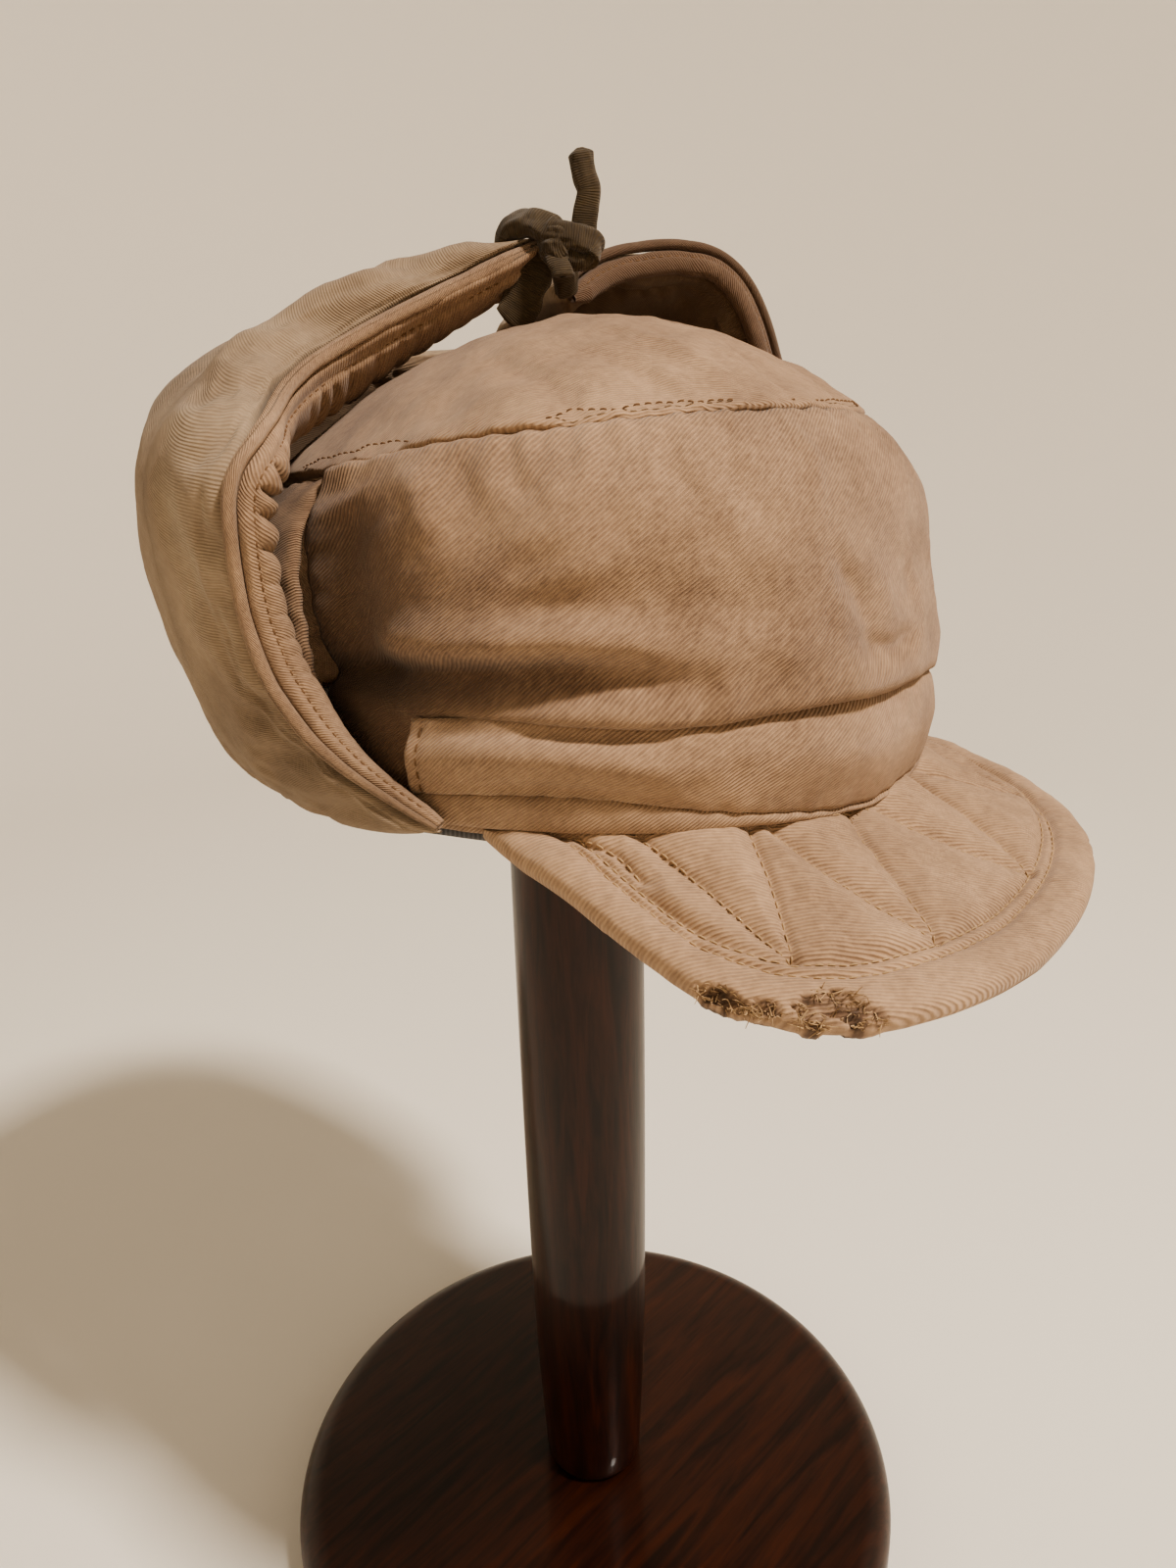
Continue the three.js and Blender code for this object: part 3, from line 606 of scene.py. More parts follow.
def make_stitches(name, runs, material, length, gap, width, lift):
    """One piece holding the stitches of many runs, each an array of points and one of face normals."""
    bodies = []
    for path, normals in runs:
        at = spaced(path, length + gap)
        nearest = np.argmin(np.linalg.norm(path[None] - at[:, None], axis=-1), axis=1)
        bodies.extend(stitch_rings(at, normals[nearest], length, width, lift))
    points, faces = joined(bodies)
    return make_piece(name, to_metres(points), faces, material)


def on_face(surface, relief, us, vs, lift=0.0):
    """Points and normals of a run across a face, given its u and v at each point."""
    u, v = np.broadcast_arrays(np.asarray(us, float), np.asarray(vs, float))
    normal = normals_of(surface, u, v)
    return surface(u, v) + normal * (relief(u, v) + lift)[..., None], normal


# ---------------------------------------------------------------- materials

def linear(hex_colour):
    """Linear channels of an sRGB hex colour such as "#A58263", with full opacity as the last."""
    channels = [int(hex_colour[k:k + 2], 16) / 255 for k in (1, 3, 5)]
    return (*(c / 12.92 if c <= 0.04045 else ((c + 0.055) / 1.055) ** 2.4 for c in channels), 1)


def set_inputs(node, inputs):
    """Gives a node's inputs, by name or number, values or the outputs of other nodes."""
    for key, value in inputs.items():
        if isinstance(value, bpy.types.NodeSocket):
            node.id_data.links.new(value, node.inputs[key])
        else:
            node.inputs[key].default_value = value


def add_node(tree, kind, inputs=None, **settings):
    """Adds a shader node with its inputs and its settings."""
    node = tree.nodes.new("ShaderNode" + kind)
    for key, value in settings.items():
        setattr(node, key, value)
    set_inputs(node, inputs or {})
    return node


def noise(tree, place, **inputs):
    return add_node(tree, "TexNoise", {"Vector": place, **inputs}).outputs["Fac"]


def ramp(tree, value, low, high, to_low=0.0, to_high=1.0):
    """The value taken from low and high to to_low and to_high, and held beyond them."""
    return add_node(tree, "MapRange", {"Value": value, 1: low, 2: high, 3: to_low, 4: to_high}).outputs[0]


def mixed(tree, share, low, high):
    """The colour a share of the way from low to high, each an sRGB hex colour or a node's output."""
    ends = [linear(end) if isinstance(end, str) else end for end in (low, high)]
    return add_node(tree, "Mix", {0: share, 6: ends[0], 7: ends[1]}, data_type="RGBA").outputs[2]


def new_material(name, **sockets):
    """A material, its node tree and its shader with sockets set from keywords."""
    material = bpy.data.materials.new(name)
    material.use_nodes = True
    shader = material.node_tree.nodes["Principled BSDF"]
    set_inputs(shader, {key.replace("_", " "): value for key, value in sockets.items()})
    return material, material.node_tree, shader


WAVE_PERIOD = 0.314  # of the wave texture at a scale of 1
SHADE_AND_WEAR_DARK = "#21160D"  # colour of painted deep shade and of torn places, where a tone over 0.4 darkens the cloth


def woven_cloth(name, pale, dark, rib, rib_angle, rib_depth, rib_tone, speckle, clouds, **sockets):
    """Woven cloth: ribs of thread rib mm apart at an angle to the cloth's run, thread by thread unevenness,
    and broad fading. It reads lay, in millimetres along the cloth, and tone, which darkens it: tone holds
    painted shade as well as torn and rubbed places."""
    material, tree, shader = new_material(name, **sockets)
    lay = add_node(tree, "Attribute", attribute_name="lay").outputs["Vector"]
    tone = add_node(tree, "Attribute", attribute_name="tone").outputs["Fac"]
    place = add_node(tree, "TexCoord").outputs["Object"]
    turned = add_node(tree, "Mapping", {"Vector": lay,
                                        "Rotation": (0, 0, math.radians(rib_angle))}).outputs[0]
    ribs = add_node(tree, "TexWave", {"Vector": turned, "Scale": WAVE_PERIOD / rib, "Distortion": 0.5,
                                      "Detail": 2, "Detail Scale": 0.35}).outputs["Fac"]
    stretch = add_node(tree, "Mapping", {"Vector": turned, "Scale": (1, 0.4, 1)}).outputs[0]
    threads = noise(tree, stretch, Scale=0.7 / rib, Detail=3, Roughness=0.65)
    fading = noise(tree, place, Scale=24, Detail=5, Roughness=0.62)
    grime = noise(tree, place, Scale=75, Detail=4, Roughness=0.7)
    share = 0.5
    for source, weight in ((ribs, rib_tone), (threads, speckle), (fading, clouds), (grime, clouds * 0.45)):
        centred = add_node(tree, "Math", {0: source, 1: 0.5}, operation="SUBTRACT").outputs[0]
        share = add_node(tree, "Math", {0: centred, 1: weight, 2: share},
                         operation="MULTIPLY_ADD").outputs[0]
    share = add_node(tree, "Math", {0: share, 1: tone}, operation="SUBTRACT", use_clamp=True).outputs[0]
    colour = mixed(tree, share, dark, pale)
    # painted deep shade and torn places: a tone over 0.4 darkens the cloth further
    shade_and_wear = ramp(tree, tone, 0.4, 1.0, 0.0, 0.85)
    colour = mixed(tree, shade_and_wear, colour, SHADE_AND_WEAR_DARK)
    height = add_node(tree, "Math", {0: threads, 1: 0.7, 2: ribs}, operation="MULTIPLY_ADD").outputs[0]
    bump = add_node(tree, "Bump", {"Height": height, "Strength": 0.8,
                                   "Distance": rib_depth * MM}).outputs[0]
    set_inputs(shader, {"Base Color": colour, "Normal": bump})
    return material


def faded_cotton_twill(look):
    """Cotton twill, woven, washed and faded: matt, with clear diagonal ribs and paler patches.
    Its ribs are about 0.8 mm apart. They are set at 0.7 mm here, because rendered they look wider than
    they are set."""
    return woven_cloth("faded_cotton_twill", look.twill_pale, look.twill_dark, rib=look.twill_rib,
                       rib_angle=-53, rib_depth=0.26, rib_tone=0.28, speckle=0.9, clouds=1.3,
                       Roughness=0.92, Specular_IOR_Level=0.25, Sheen_Weight=0.12, Sheen_Roughness=0.6)


def close_woven_poplin(look):
    """Cotton poplin, closely woven: matt and almost even, with faint ribs, greyer than the twill."""
    return woven_cloth("close_woven_poplin", look.poplin_pale, look.poplin_dark, rib=0.7, rib_angle=75,
                       rib_depth=0.16, rib_tone=0.13, speckle=0.6, clouds=1.3,
                       Roughness=0.9, Specular_IOR_Level=0.28, Sheen_Weight=0.1, Sheen_Roughness=0.6)


def brushed_lining(look):
    """Dark brushed cotton lining: no gloss, and a short nap that catches a little light."""
    return woven_cloth("brushed_lining", look.lining, "#0F0C0B", rib=1.2, rib_angle=0,
                       rib_depth=0.2, rib_tone=0.1, speckle=0.6, clouds=0.6,
                       Roughness=1.0, Specular_IOR_Level=0.15, Sheen_Weight=0.3, Sheen_Roughness=0.8)


def cotton_tape(look):
    """Dark cotton twill tape, woven narrow: fine cross ribs and rubbed, paler patches."""
    return woven_cloth("cotton_tape", look.tape, "#1E1610", rib=0.55, rib_angle=90,
                       rib_depth=0.15, rib_tone=0.15, speckle=0.9, clouds=1.2,
                       Roughness=0.9, Specular_IOR_Level=0.25, Sheen_Weight=0.15, Sheen_Roughness=0.6)


def sewing_thread(name, pale, dark):
    """Spun cotton thread: matt, with its twist too fine to see."""
    return woven_cloth(name, pale, dark, rib=0.5, rib_angle=30, rib_depth=0.1, rib_tone=0.3, speckle=0.5,
                       clouds=0.9, Roughness=0.85, Specular_IOR_Level=0.3)


def twill_and_thread(look):
    """The two materials that most pieces share, made once."""
    twill = bpy.data.materials.get("faded_cotton_twill") or faded_cotton_twill(look)
    thread = bpy.data.materials.get("khaki_thread") or sewing_thread("khaki_thread", look.thread, "#6E543C")
    return twill, thread


PORE_STAIN = "#180C07"


def lacquered_hardwood(name, grain_scale, look):
    """Hardwood stained dark, turned on a lathe and lacquered: long grain with darker pores under a thin
    clear coat. The grain runs along the piece's longest way, which grain_scale gives in lumps a metre."""
    material, tree, shader = new_material(name, Specular_IOR_Level=0.2, Coat_Weight=0.4,
                                          Coat_Roughness=0.08, Coat_IOR=1.5)
    place = add_node(tree, "TexCoord").outputs["Object"]
    along = add_node(tree, "Mapping", {"Vector": place, "Scale": grain_scale}).outputs[0]
    figure = noise(tree, along, Scale=0.5, Detail=6, Roughness=0.6, Distortion=1.4)
    pores = noise(tree, along, Scale=1.6, Detail=3, Roughness=0.7)
    streaks = ramp(tree, figure, 0.35, 0.68)
    pore = ramp(tree, pores, 0.32, 0.5, 0.45, 1.0)
    wood = mixed(tree, streaks, look.wood_dark, look.wood_light)
    stained = mixed(tree, pore, PORE_STAIN, wood)
    gloss = ramp(tree, pores, 0, 1, 0.5, 0.34)
    bump = add_node(tree, "Bump", {"Height": pore, "Strength": 0.1, "Distance": 0.1 * MM}).outputs[0]
    set_inputs(shader, {"Base Color": stained, "Roughness": gloss, "Normal": bump})
    return material


def studio_paper(look):
    """Matt paper backdrop."""
    return new_material("studio_paper", Base_Color=linear(look.floor), Roughness=0.9,
                        Specular_IOR_Level=0.2)[0]


# ---------------------------------------------------------------- the stand

AXIS_REACH = 0.5  # radius of the small face that closes a turned piece at its axis


def lathe(name, profile, sides, material):
    """A turned piece in millimetres from a profile of (radius, height) points off the axis."""
    turn = np.radians(np.linspace(0, 360, sides, endpoint=False))
    profile = np.asarray(profile, float)
    rings = np.stack([
        profile[:, :1] * np.cos(turn), profile[:, :1] * np.sin(turn), profile[:, 1:] + 0 * turn,
    ], -1)
    points, faces = ring_body(rings)
    make_piece(name, points * MM, faces, material, ["stand_" + name])


def in_mm(box):
    return [Vector(corner) / MM for corner in box]


def arc(centre, radius, start, end, count):
    """Points of (radius, height) along a round edge, between angles from level."""
    turn = np.radians(np.linspace(start, end, count))
    return np.stack([centre[0] + radius * np.cos(turn), centre[1] + radius * np.sin(turn)], -1)


POST_RISE = [0, 0.16, 0.4, 0.7, 1]
POST_RADIUS = [17, 19.1, 20, 20, 19]
POST_FOOT = [(14, 0), (15.2, 0.4), (16.2, 1.6)]  # radius, and height over the post's lower end
POST_NECK = [(0.93, -0.2), (0.9, 0)]  # share of the widest radius, and height over the upper end
SHAFT_ENDS = (4, 1)  # how far the table's first and last rows are from the post's ends
UNDERSIDE_ROUND = 2  # radius of the base's lower edge
RIM_ROUND = 3.5  # radius of the head's lower edge
RIM_WALL = 6  # height of the head's straight side, under its dome


def make_stand(look):
    grain_up = lacquered_hardwood("lacquered_hardwood_upright", (330, 330, 30), look)
    grain_flat = lacquered_hardwood("lacquered_hardwood_flat", (30, 330, 330), look)
    _, high = in_mm(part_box("stand_base"))
    radius, top = high.x, high.z
    round_edge = look.base_round / MM
    lathe("base", [
        (AXIS_REACH, 0), (radius - UNDERSIDE_ROUND - 0.2, 0),
        *arc((radius - UNDERSIDE_ROUND, UNDERSIDE_ROUND), UNDERSIDE_ROUND, -90, 0, 6),
        *arc((radius - round_edge, top - round_edge), round_edge, 0, 90, 16),
        (radius * 0.6, top + 0.05), (radius * 0.3, top), (AXIS_REACH, top),
    ], 160, grain_flat)

    low, high = in_mm(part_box("stand_post"))
    foot, neck, wide = low.z, high.z, high.x
    share = np.linspace(0, 1, 40)
    shaft = np.stack([look_up(POST_RISE, POST_RADIUS, share),
                      foot + SHAFT_ENDS[0] + (neck - foot - sum(SHAFT_ENDS)) * share], -1)
    lathe("post", [
        (AXIS_REACH, foot), *((r, foot + up) for r, up in POST_FOOT), *shaft,
        *((wide * part, neck + up) for part, up in POST_NECK), (AXIS_REACH, neck),
    ], 96, grain_up)

    low, high = in_mm(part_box("stand_head"))
    rim, radius = low.z, high.x
    dome = np.radians(np.linspace(4, 89, 20))
    lathe("head", [
        (AXIS_REACH, rim), (radius - RIM_ROUND - 0.5, rim),
        *arc((radius - RIM_ROUND, rim + RIM_ROUND), RIM_ROUND, -90, -5, 6),
        *np.stack([radius * np.cos(dome), rim + RIM_WALL + (high.z - rim - RIM_WALL) * np.sin(dome)], -1),
    ], 96, grain_up)


# ---------------------------------------------------------------- the crown

SEAM_GAP = 0.35  # degrees between the front and back panels at the side seams
BACK_LENGTH = 260  # round the back panel, in millimetres


def side_seam(rise):
    return SIDE_SEAM[0] + (SIDE_SEAM[1] - SIDE_SEAM[0]) * rise


def front_around(u, rise):
    return (2 * u - 1) * side_seam(rise)


def front_wall(u, rise):
    return crown_wall(front_around(u, rise), rise)


def back_wall(u, rise):
    edge = side_seam(rise) + SEAM_GAP
    return crown_wall(edge + (360 - 2 * edge) * u, rise)


def seam_pucker(x, distance, pitch, seed):
    """Small dents of uneven pitch that run in from a seam, at x mm along it and a distance off it."""
    wave = np.sin(2 * np.pi * x / pitch + 2.5 * lumps(np.stack([x, 0 * x], -1), 3 * pitch, seed))
    return wave * np.exp(-np.maximum(distance, 0) / (0.75 * pitch)) * (0.6 + 0.4 * lumps(
        np.stack([x, 0 * x + 9], -1), 2 * pitch, seed + 3))


def over_band(around, rise):
    """Height over the band's top edge, in millimetres, and how strongly the crown hangs over it there."""
    height = crown_wall(around, rise)[..., 2] - edge_height(BAND_TOP, around)
    strength = 0.6 + 0.4 * ease(52, 26, np.abs(around))  # most over the brow
    return height, strength * ease(84, 77, np.abs(around))  # and none behind the band's ends


def front_sag(u, rise):
    height, strength = over_band(front_around(u, rise), rise)
    return LIP_SAG * strength * bell((height - 2.5) / 3.5)


def front_relief(u, rise):
    around = front_around(u, rise)
    height, strength = over_band(around, rise)
    lip = LIP_HEIGHT * strength * ease(-0.5, 3.0, height) * ease(30, 5, height)
    flat = np.stack([around * DEGREE, rise * WALL_HEIGHT], -1)
    from_top = (1 - rise) * WALL_HEIGHT
    from_side = (side_seam(rise) - np.abs(around)) * DEGREE
    return (lip + fold_relief(CROWN_FOLDS, around, rise, WALL_HEIGHT) * (1 - 0.8 * bell(from_top / 4))
            + 0.8 * rough(flat, 30, 1) + 0.26 * rough(flat, 9, 5)
            + 0.4 * seam_pucker(flat[..., 0], from_top, 8, 2)
            + 0.4 * seam_pucker(flat[..., 1], from_side, 9, 3)
            - 0.25 * bell(from_top / 1.2) - 0.8 * bell(from_side / 1.6))


CROWN_TONE = 0.12  # how much darker the crown's front is than the band
# painted shade, in the hollow behind the flap's edge, in the valley and by the back panel's side seams
HOLLOW_PAINTED_SHADE = 0.42
VALLEY_PAINTED_SHADE = 0.3
BACK_PAINTED_SHADE = 0.3


def front_tone_and_shade(u, rise):
    """Painted shade: darker cloth in the hollow behind the flap's edge and deep in the valley, where shade
    falls, over an even darkening of the whole front. It is a guess that the dye has kept there."""
    around = front_around(u, rise)
    valley = -fold_relief(CROWN_FOLDS[:2], around, rise, WALL_HEIGHT) / 9
    return (CROWN_TONE + HOLLOW_PAINTED_SHADE * ease(68, 84, around) * ease(0.97, 0.8, rise)
            + VALLEY_PAINTED_SHADE * np.clip(valley, 0, 1))


def back_painted_shade(u, rise):
    """Painted shade: darker towards both side seams, behind the flap, where shade falls.
    Darker towards both side seams, behind the flap, by the same guess.
    """
    return BACK_PAINTED_SHADE * ease(0.2, 0.04, u) + BACK_PAINTED_SHADE * ease(0.8, 0.96, u)


def back_relief(u, rise):
    flat = np.stack([u * BACK_LENGTH, rise * WALL_HEIGHT], -1)
    from_side = np.minimum(u, 1 - u) * BACK_LENGTH
    return (0.9 * rough(flat, 26, 11) + 0.15 * rough(flat, 8, 12)
            + 0.5 * seam_pucker(flat[..., 0], (1 - rise) * WALL_HEIGHT, 8, 4)
            + 0.4 * seam_pucker(flat[..., 1], from_side, 9, 6)
            + 2.6 * bell((from_side - 9) / 6) * ease(0.4, 0.62, rise) * ease(0.98, 0.85, rise)
            - 0.9 * bell((1 - rise) * WALL_HEIGHT / 1.6) - 0.8 * bell(from_side / 1.6))


def top_relief(around, share):
    spot = crown_top(around, share)[..., :2]
    from_seam = (1 - share) * HEM_HALF_WIDTH * TOP_NARROWING
    turned_angle = (np.asarray(around) + 180) % 360 - 180
    return (fold_relief(TOP_CREASES, turned_angle, share, HEM_HALF_WIDTH)
            + 0.9 * rough(spot, 24, 21) + 0.26 * rough(spot, 8, 22)
            + 0.4 * seam_pucker(turned_angle * DEGREE, from_seam, 8, 2)
            - 0.25 * bell(from_seam / 1.2))


SIDE_TOP = 1 - 0.2 / 90  # the side panels end just short of the top seam
PANEL_EDGE = 0.6  # radius of a crown panel's edges
TOP_GAP = 0.3  # between the top panel and the side panels
SEAM_ROW = 1.9  # in from the top panel's edge


def make_crown(look):
    cloth, thread = twill_and_thread(look)
    cloth_panel("crown_front_panel", front_wall, np.linspace(0, 1, 250), np.linspace(0, SIDE_TOP, 84),
                front_relief, CROWN_CLOTH, cloth, ["crown_front"], edge=PANEL_EDGE, sag=front_sag,
                tone=front_tone_and_shade)
    cloth_panel("crown_back_panel", back_wall, np.linspace(0, 1, 190), np.linspace(0, SIDE_TOP, 70),
                back_relief, CROWN_CLOTH, cloth, ["crown_back"], edge=PANEL_EDGE, tone=back_painted_shade)
    shares = np.concatenate([np.linspace(0.012, 0.9, 56), np.linspace(0.91, 1 - 0.4 / HEM_HALF_WIDTH, 16)])
    turn = np.linspace(0, 360, 240, endpoint=False)
    around, share = np.meshgrid(turn, shares, indexing="ij")
    base, normal = crown_top(around, share), normals_of(crown_top, around, share)
    normal *= np.sign(normal[..., 2:])
    drop = rounding((1 - share) * HEM_HALF_WIDTH * TOP_NARROWING - TOP_GAP, PANEL_EDGE)
    relief = top_relief(around, share)
    outer = base + normal * (relief - drop)[..., None]
    inner = base - normal * (CROWN_CLOTH - 0.3 * relief)[..., None]
    rings = np.concatenate([outer, inner[:, ::-1]], 1).swapaxes(0, 1)
    points, faces = ring_body(rings)
    lay = np.concatenate([base, base[:, ::-1]], 1).swapaxes(0, 1) * (1, 1, 0)
    make_piece("crown_top_panel", to_metres(points), faces, cloth, ["crown_top"],
               {"lay": lay})

    around = np.linspace(-178, 178, 420)
    path, normal = on_face(crown_top, top_relief, around, 1 - SEAM_ROW / HEM_HALF_WIDTH)
    make_stitches("crown_stitches", [(path, normal * np.sign(normal[..., 2:]))], thread,
                  length=1.5, gap=0.9, width=0.42, lift=0.2)


# ---------------------------------------------------------------- the band and the hem strip

BAND_WIDTH = 24
BAND_CLOTH = 1.1
STRIP_CLOTH = 0.9
STRIP_SIZE = (220, 5)  # length and width of the hem's binding


def band_face(u, v):
    around = (2 * u - 1) * BAND_END
    top, foot = edge_height(BAND_TOP, around), edge_height(STRIP_TOP, around) - 0.6
    return cap_point(around, BAND_REACH + 0.012 * np.sin(np.pi * v), foot + (top - foot) * v)


def band_relief(u, v):
    around = (2 * u - 1) * BAND_END
    flat = np.stack([around * DEGREE, v * BAND_WIDTH], -1)
    from_end = (1 - np.abs(2 * u - 1)) * BAND_END * DEGREE
    return (0.4 + 1.7 * np.sin(np.pi * v) ** 0.7
            - 1.4 * ease(0.84, 1, v) * ease(BAND_END, 60, np.abs(around))
            + fold_relief(BAND_FOLDS, around, v, BAND_WIDTH) + 0.4 * rough(flat, 16, 31)
            + 0.12 * rough(flat, 6, 32) + 0.3 * seam_pucker(flat[..., 0], BAND_WIDTH * v, 8, 33)
            - 0.6 * bell((from_end - 3) / 0.8))


def strip_face(u, v):
    around = (2 * u - 1) * STRIP_END
    foot = sewn_up(around)
    return cap_point(around, 1.016, foot + (edge_height(STRIP_TOP, around) - foot) * v)


def strip_relief(u, v):
    flat = np.stack([u * STRIP_SIZE[0], v * STRIP_SIZE[1]], -1)
    return 0.5 + 1.1 * np.sin(np.pi * v) ** 0.6 + 0.3 * rough(flat, 9, 41)


def make_band(look):
    cloth, thread = twill_and_thread(look)
    cloth_panel("band", band_face, np.linspace(0, 1, 220), np.linspace(0, 1, 28), band_relief, BAND_CLOTH,
                cloth, ["front_band"], edge=1.0)
    cloth_panel("hem_binding", strip_face, np.linspace(0, 1, 200), np.linspace(0, 1, 14), strip_relief,
                STRIP_CLOTH, cloth, ["hem_strip"], edge=0.8)
    end = np.linspace(0.06, 0.94, 20)
    runs = [on_face(band_face, band_relief, u + 0 * end, end, 0.05) for u in (0.013, 0.987)]
    make_stitches("band_stitches", runs, thread, length=2.2, gap=0.9, width=0.5, lift=0.25)


# ---------------------------------------------------------------- the sweatband

def sweat_face(u, v):
    return crown_wall(360 * u, -0.035 + 0.215 * v)


SWEAT_DEPTHS = (4.2, 5.6)  # of its two faces behind the crown's outside


def make_sweatband(look):
    us, vs = np.linspace(0, 1, 220, endpoint=False), np.linspace(0, 1, 12)
    u, v = np.meshgrid(us, vs, indexing="ij")
    base, normal = sweat_face(u, v), normals_of(sweat_face, u, v)
    wave = 0.25 * rough(base, 14, 51)
    near, far = (base - normal * (depth - wave)[..., None] for depth in SWEAT_DEPTHS)
    rings = np.concatenate([near, far[:, ::-1]], 1)
    points = rings.reshape(-1, 3)
    faces = turned_outward(points, grid_quads(*rings.shape[:2], closed_rows=True, closed_columns=True))
    lay = np.concatenate([np.stack([360 * u * DEGREE, 20 * v, 0 * u], -1)] * 2, 1)
    make_piece("sweatband_lining", to_metres(points), faces, brushed_lining(look),
               ["sweatband"], {"lay": lay})


# ---------------------------------------------------------------- the peak

PEAK_WALL = 5
PEAK_SPAN = 64.5
BORDER_ROWS = (11.4, 14.4)  # in from the peak's edge
BORDER_DEPTH = 1.0
QUILT_DEPTH = 1.3
PUFF_HEIGHT = 2.1  # of the padding between the rows of quilting
RIM_HEIGHT = 1.8  # of the padding outside the border rows
QUILTING = [  # rows of stitching across the peak, as (degrees round, share of the length) points
    [(52, 0.06), (44, 0.24), (40.5, 0.42)],
    [(40.2, 0.06), (33, 0.34), (25.2, 0.7)],
    [(23, 0.03), (24, 0.36), (25.2, 0.7)],
    [(19.2, 0.05), (14, 0.38), (8.2, 0.72)],
    [(3, 0.03), (5.5, 0.22), (8.2, 0.72)],
    [(-1.5, 0.06), (-6, 0.42), (-10.2, 0.74)],
    [(-16, 0.04), (-13.5, 0.4), (-10.2, 0.74)],
    [(-20, 0.04), (-25, 0.4), (-29, 0.68)],
    [(-37, 0.05), (-33, 0.36), (-29, 0.68)],
    [(-40, 0.05), (-44, 0.24), (-46, 0.36)],
]
TEARS = [  # worn away places on the edge: (degrees round, mm in from the edge) path, half width, depth
    ([(35, 1.0), (32.5, 1.7), (29.5, 1.6)], 1.1, 2.0),
    ([(26, 2.2), (24.8, 4.2), (22.8, 4.2), (21.6, 2.0)], 2.6, 3.0),
    ([(-20, 0.6), (-21.5, 0.5)], 1.0, 0.8),
]


def peak_top(u, share):
    """The peak's upper face, u from its right end to its left."""
    return peak_face((1 - 2 * u) * PEAK_SPAN, share)


def peak_spot(u, share):
    """Degrees round, millimetres out from the hem and millimetres in from the edge."""
    around = (1 - 2 * u) * PEAK_SPAN
    length = look_up(PEAK_AROUND, PEAK_LENGTH, np.abs(around))
    return around, share * length, (1 - share) * length


def peak_wear(u, share):
    """1 where the peak's edge is torn open, 0 where it is whole."""
    around, _, inset = peak_spot(u, share)
    torn = np.zeros(np.shape(around))
    for path, half_width, _ in TEARS:
        gap, _ = near_path([(a * 1.4, i) for a, i in path], around * 1.4, inset)
        ragged = gap + 1.0 * rough(np.stack([around * 1.4, inset], -1), 2.6, 65)
        torn = np.maximum(torn, ease(half_width + 0.45, half_width - 0.45, ragged))
    return torn


def peak_relief(u, share):
    around, out, inset = peak_spot(u, share)
    flat = np.stack([around * DEGREE, out], -1)
    total = 0.55 * rough(flat, 15, 61) + 0.18 * rough(flat, 5, 62)
    puffed = np.full(np.shape(around), 9.0)
    for path in QUILTING:
        scaled = [(a * DEGREE, s * look_up(PEAK_AROUND, PEAK_LENGTH, abs(a))) for a, s in path]
        gap, _ = near_path(scaled, flat[..., 0], flat[..., 1])
        total = total - QUILT_DEPTH * bell(gap / 0.8)
        puffed = np.minimum(puffed, gap)
    inner = ease(BORDER_ROWS[1], BORDER_ROWS[1] + 5, inset)
    total = total + PUFF_HEIGHT * ease(0, 6.5, puffed) * inner
    for row in BORDER_ROWS:
        total = total - BORDER_DEPTH * bell((inset - row) / 0.9)
    total = total + RIM_HEIGHT * np.sin(np.pi * np.clip(inset / BORDER_ROWS[0], 0, 1)) ** 0.8
    total = total + 0.3 * seam_pucker(flat[..., 0], np.abs(inset - 10.5), 5.5, 63)
    deep = sum(depth for _, _, depth in TEARS) / len(TEARS)
    torn = peak_wear(u, share)
    spot = np.stack([around * DEGREE, inset], -1)
    return total - torn * (deep + 0.7 * rough(spot, 1.8, 66)) - 0.5 * bell(out / 1.4)


PEAK_PALER = 0.1  # how much paler the whole peak is than the band


def peak_tone(u, share):
    """Paler along the border and the hem, where the peak is rubbed, and dark in the torn places."""
    around, out, inset = peak_spot(u, share)
    rubbed = (PEAK_PALER + 0.1 * bell((inset - BORDER_ROWS[0]) / 1.6) + 0.12 * bell(out / 5)
              + 0.1 * bell((inset - 3.5) / 3))
    spot = np.stack([around * DEGREE, inset], -1)
    return peak_wear(u, share) * (0.62 + 0.45 * rough(spot, 1.6, 67)) - rubbed


def make_peak(look):
    cloth, _ = twill_and_thread(look)
    shares = np.concatenate([np.linspace(-0.09, 0.7, 46), np.linspace(0.71, 1, 40)])
    peak = cloth_panel("peak_quilted", peak_top, np.linspace(0, 1, 330), shares, peak_relief, PEAK_WALL,
                       cloth, ["peak"], edge=2.4, lay=lambda base: base * (1, 1, 0),
                       tone=peak_tone)
    runs = []
    for path in QUILTING:
        around, share = curve_through_points(np.array(path, float), np.linspace(0, 1, 60)).T
        runs.append(on_face(peak_top, peak_relief, (1 - around / PEAK_SPAN) / 2, share, 0.12))
    around = np.linspace(-51, 51, 240)
    for row in BORDER_ROWS:
        length = look_up(PEAK_AROUND, PEAK_LENGTH, np.abs(around))
        kept = length > row + 1
        share = 1 - row / length[kept]
        runs.append(on_face(peak_top, peak_relief, (1 - around[kept] / PEAK_SPAN) / 2, share, 0.12))
    pale = sewing_thread("pale_thread", look.pale_thread, "#8E7355")
    make_stitches("peak_stitches", runs, pale, length=1.9, gap=0.7, width=0.5, lift=0.25)
    make_frayed_threads("peak_frayed_threads", pale)


FRAY_TRIES = 90000  # random places, of which those in and round a torn place are kept
FRAYS_ROUND_TEARS = 260
FRAYS_IN_TEARS = 150
FRAYS_AT_HEM = 26
FRAY_LENGTHS = (1.0, 2.8)
FRAY_RADIUS = 0.17


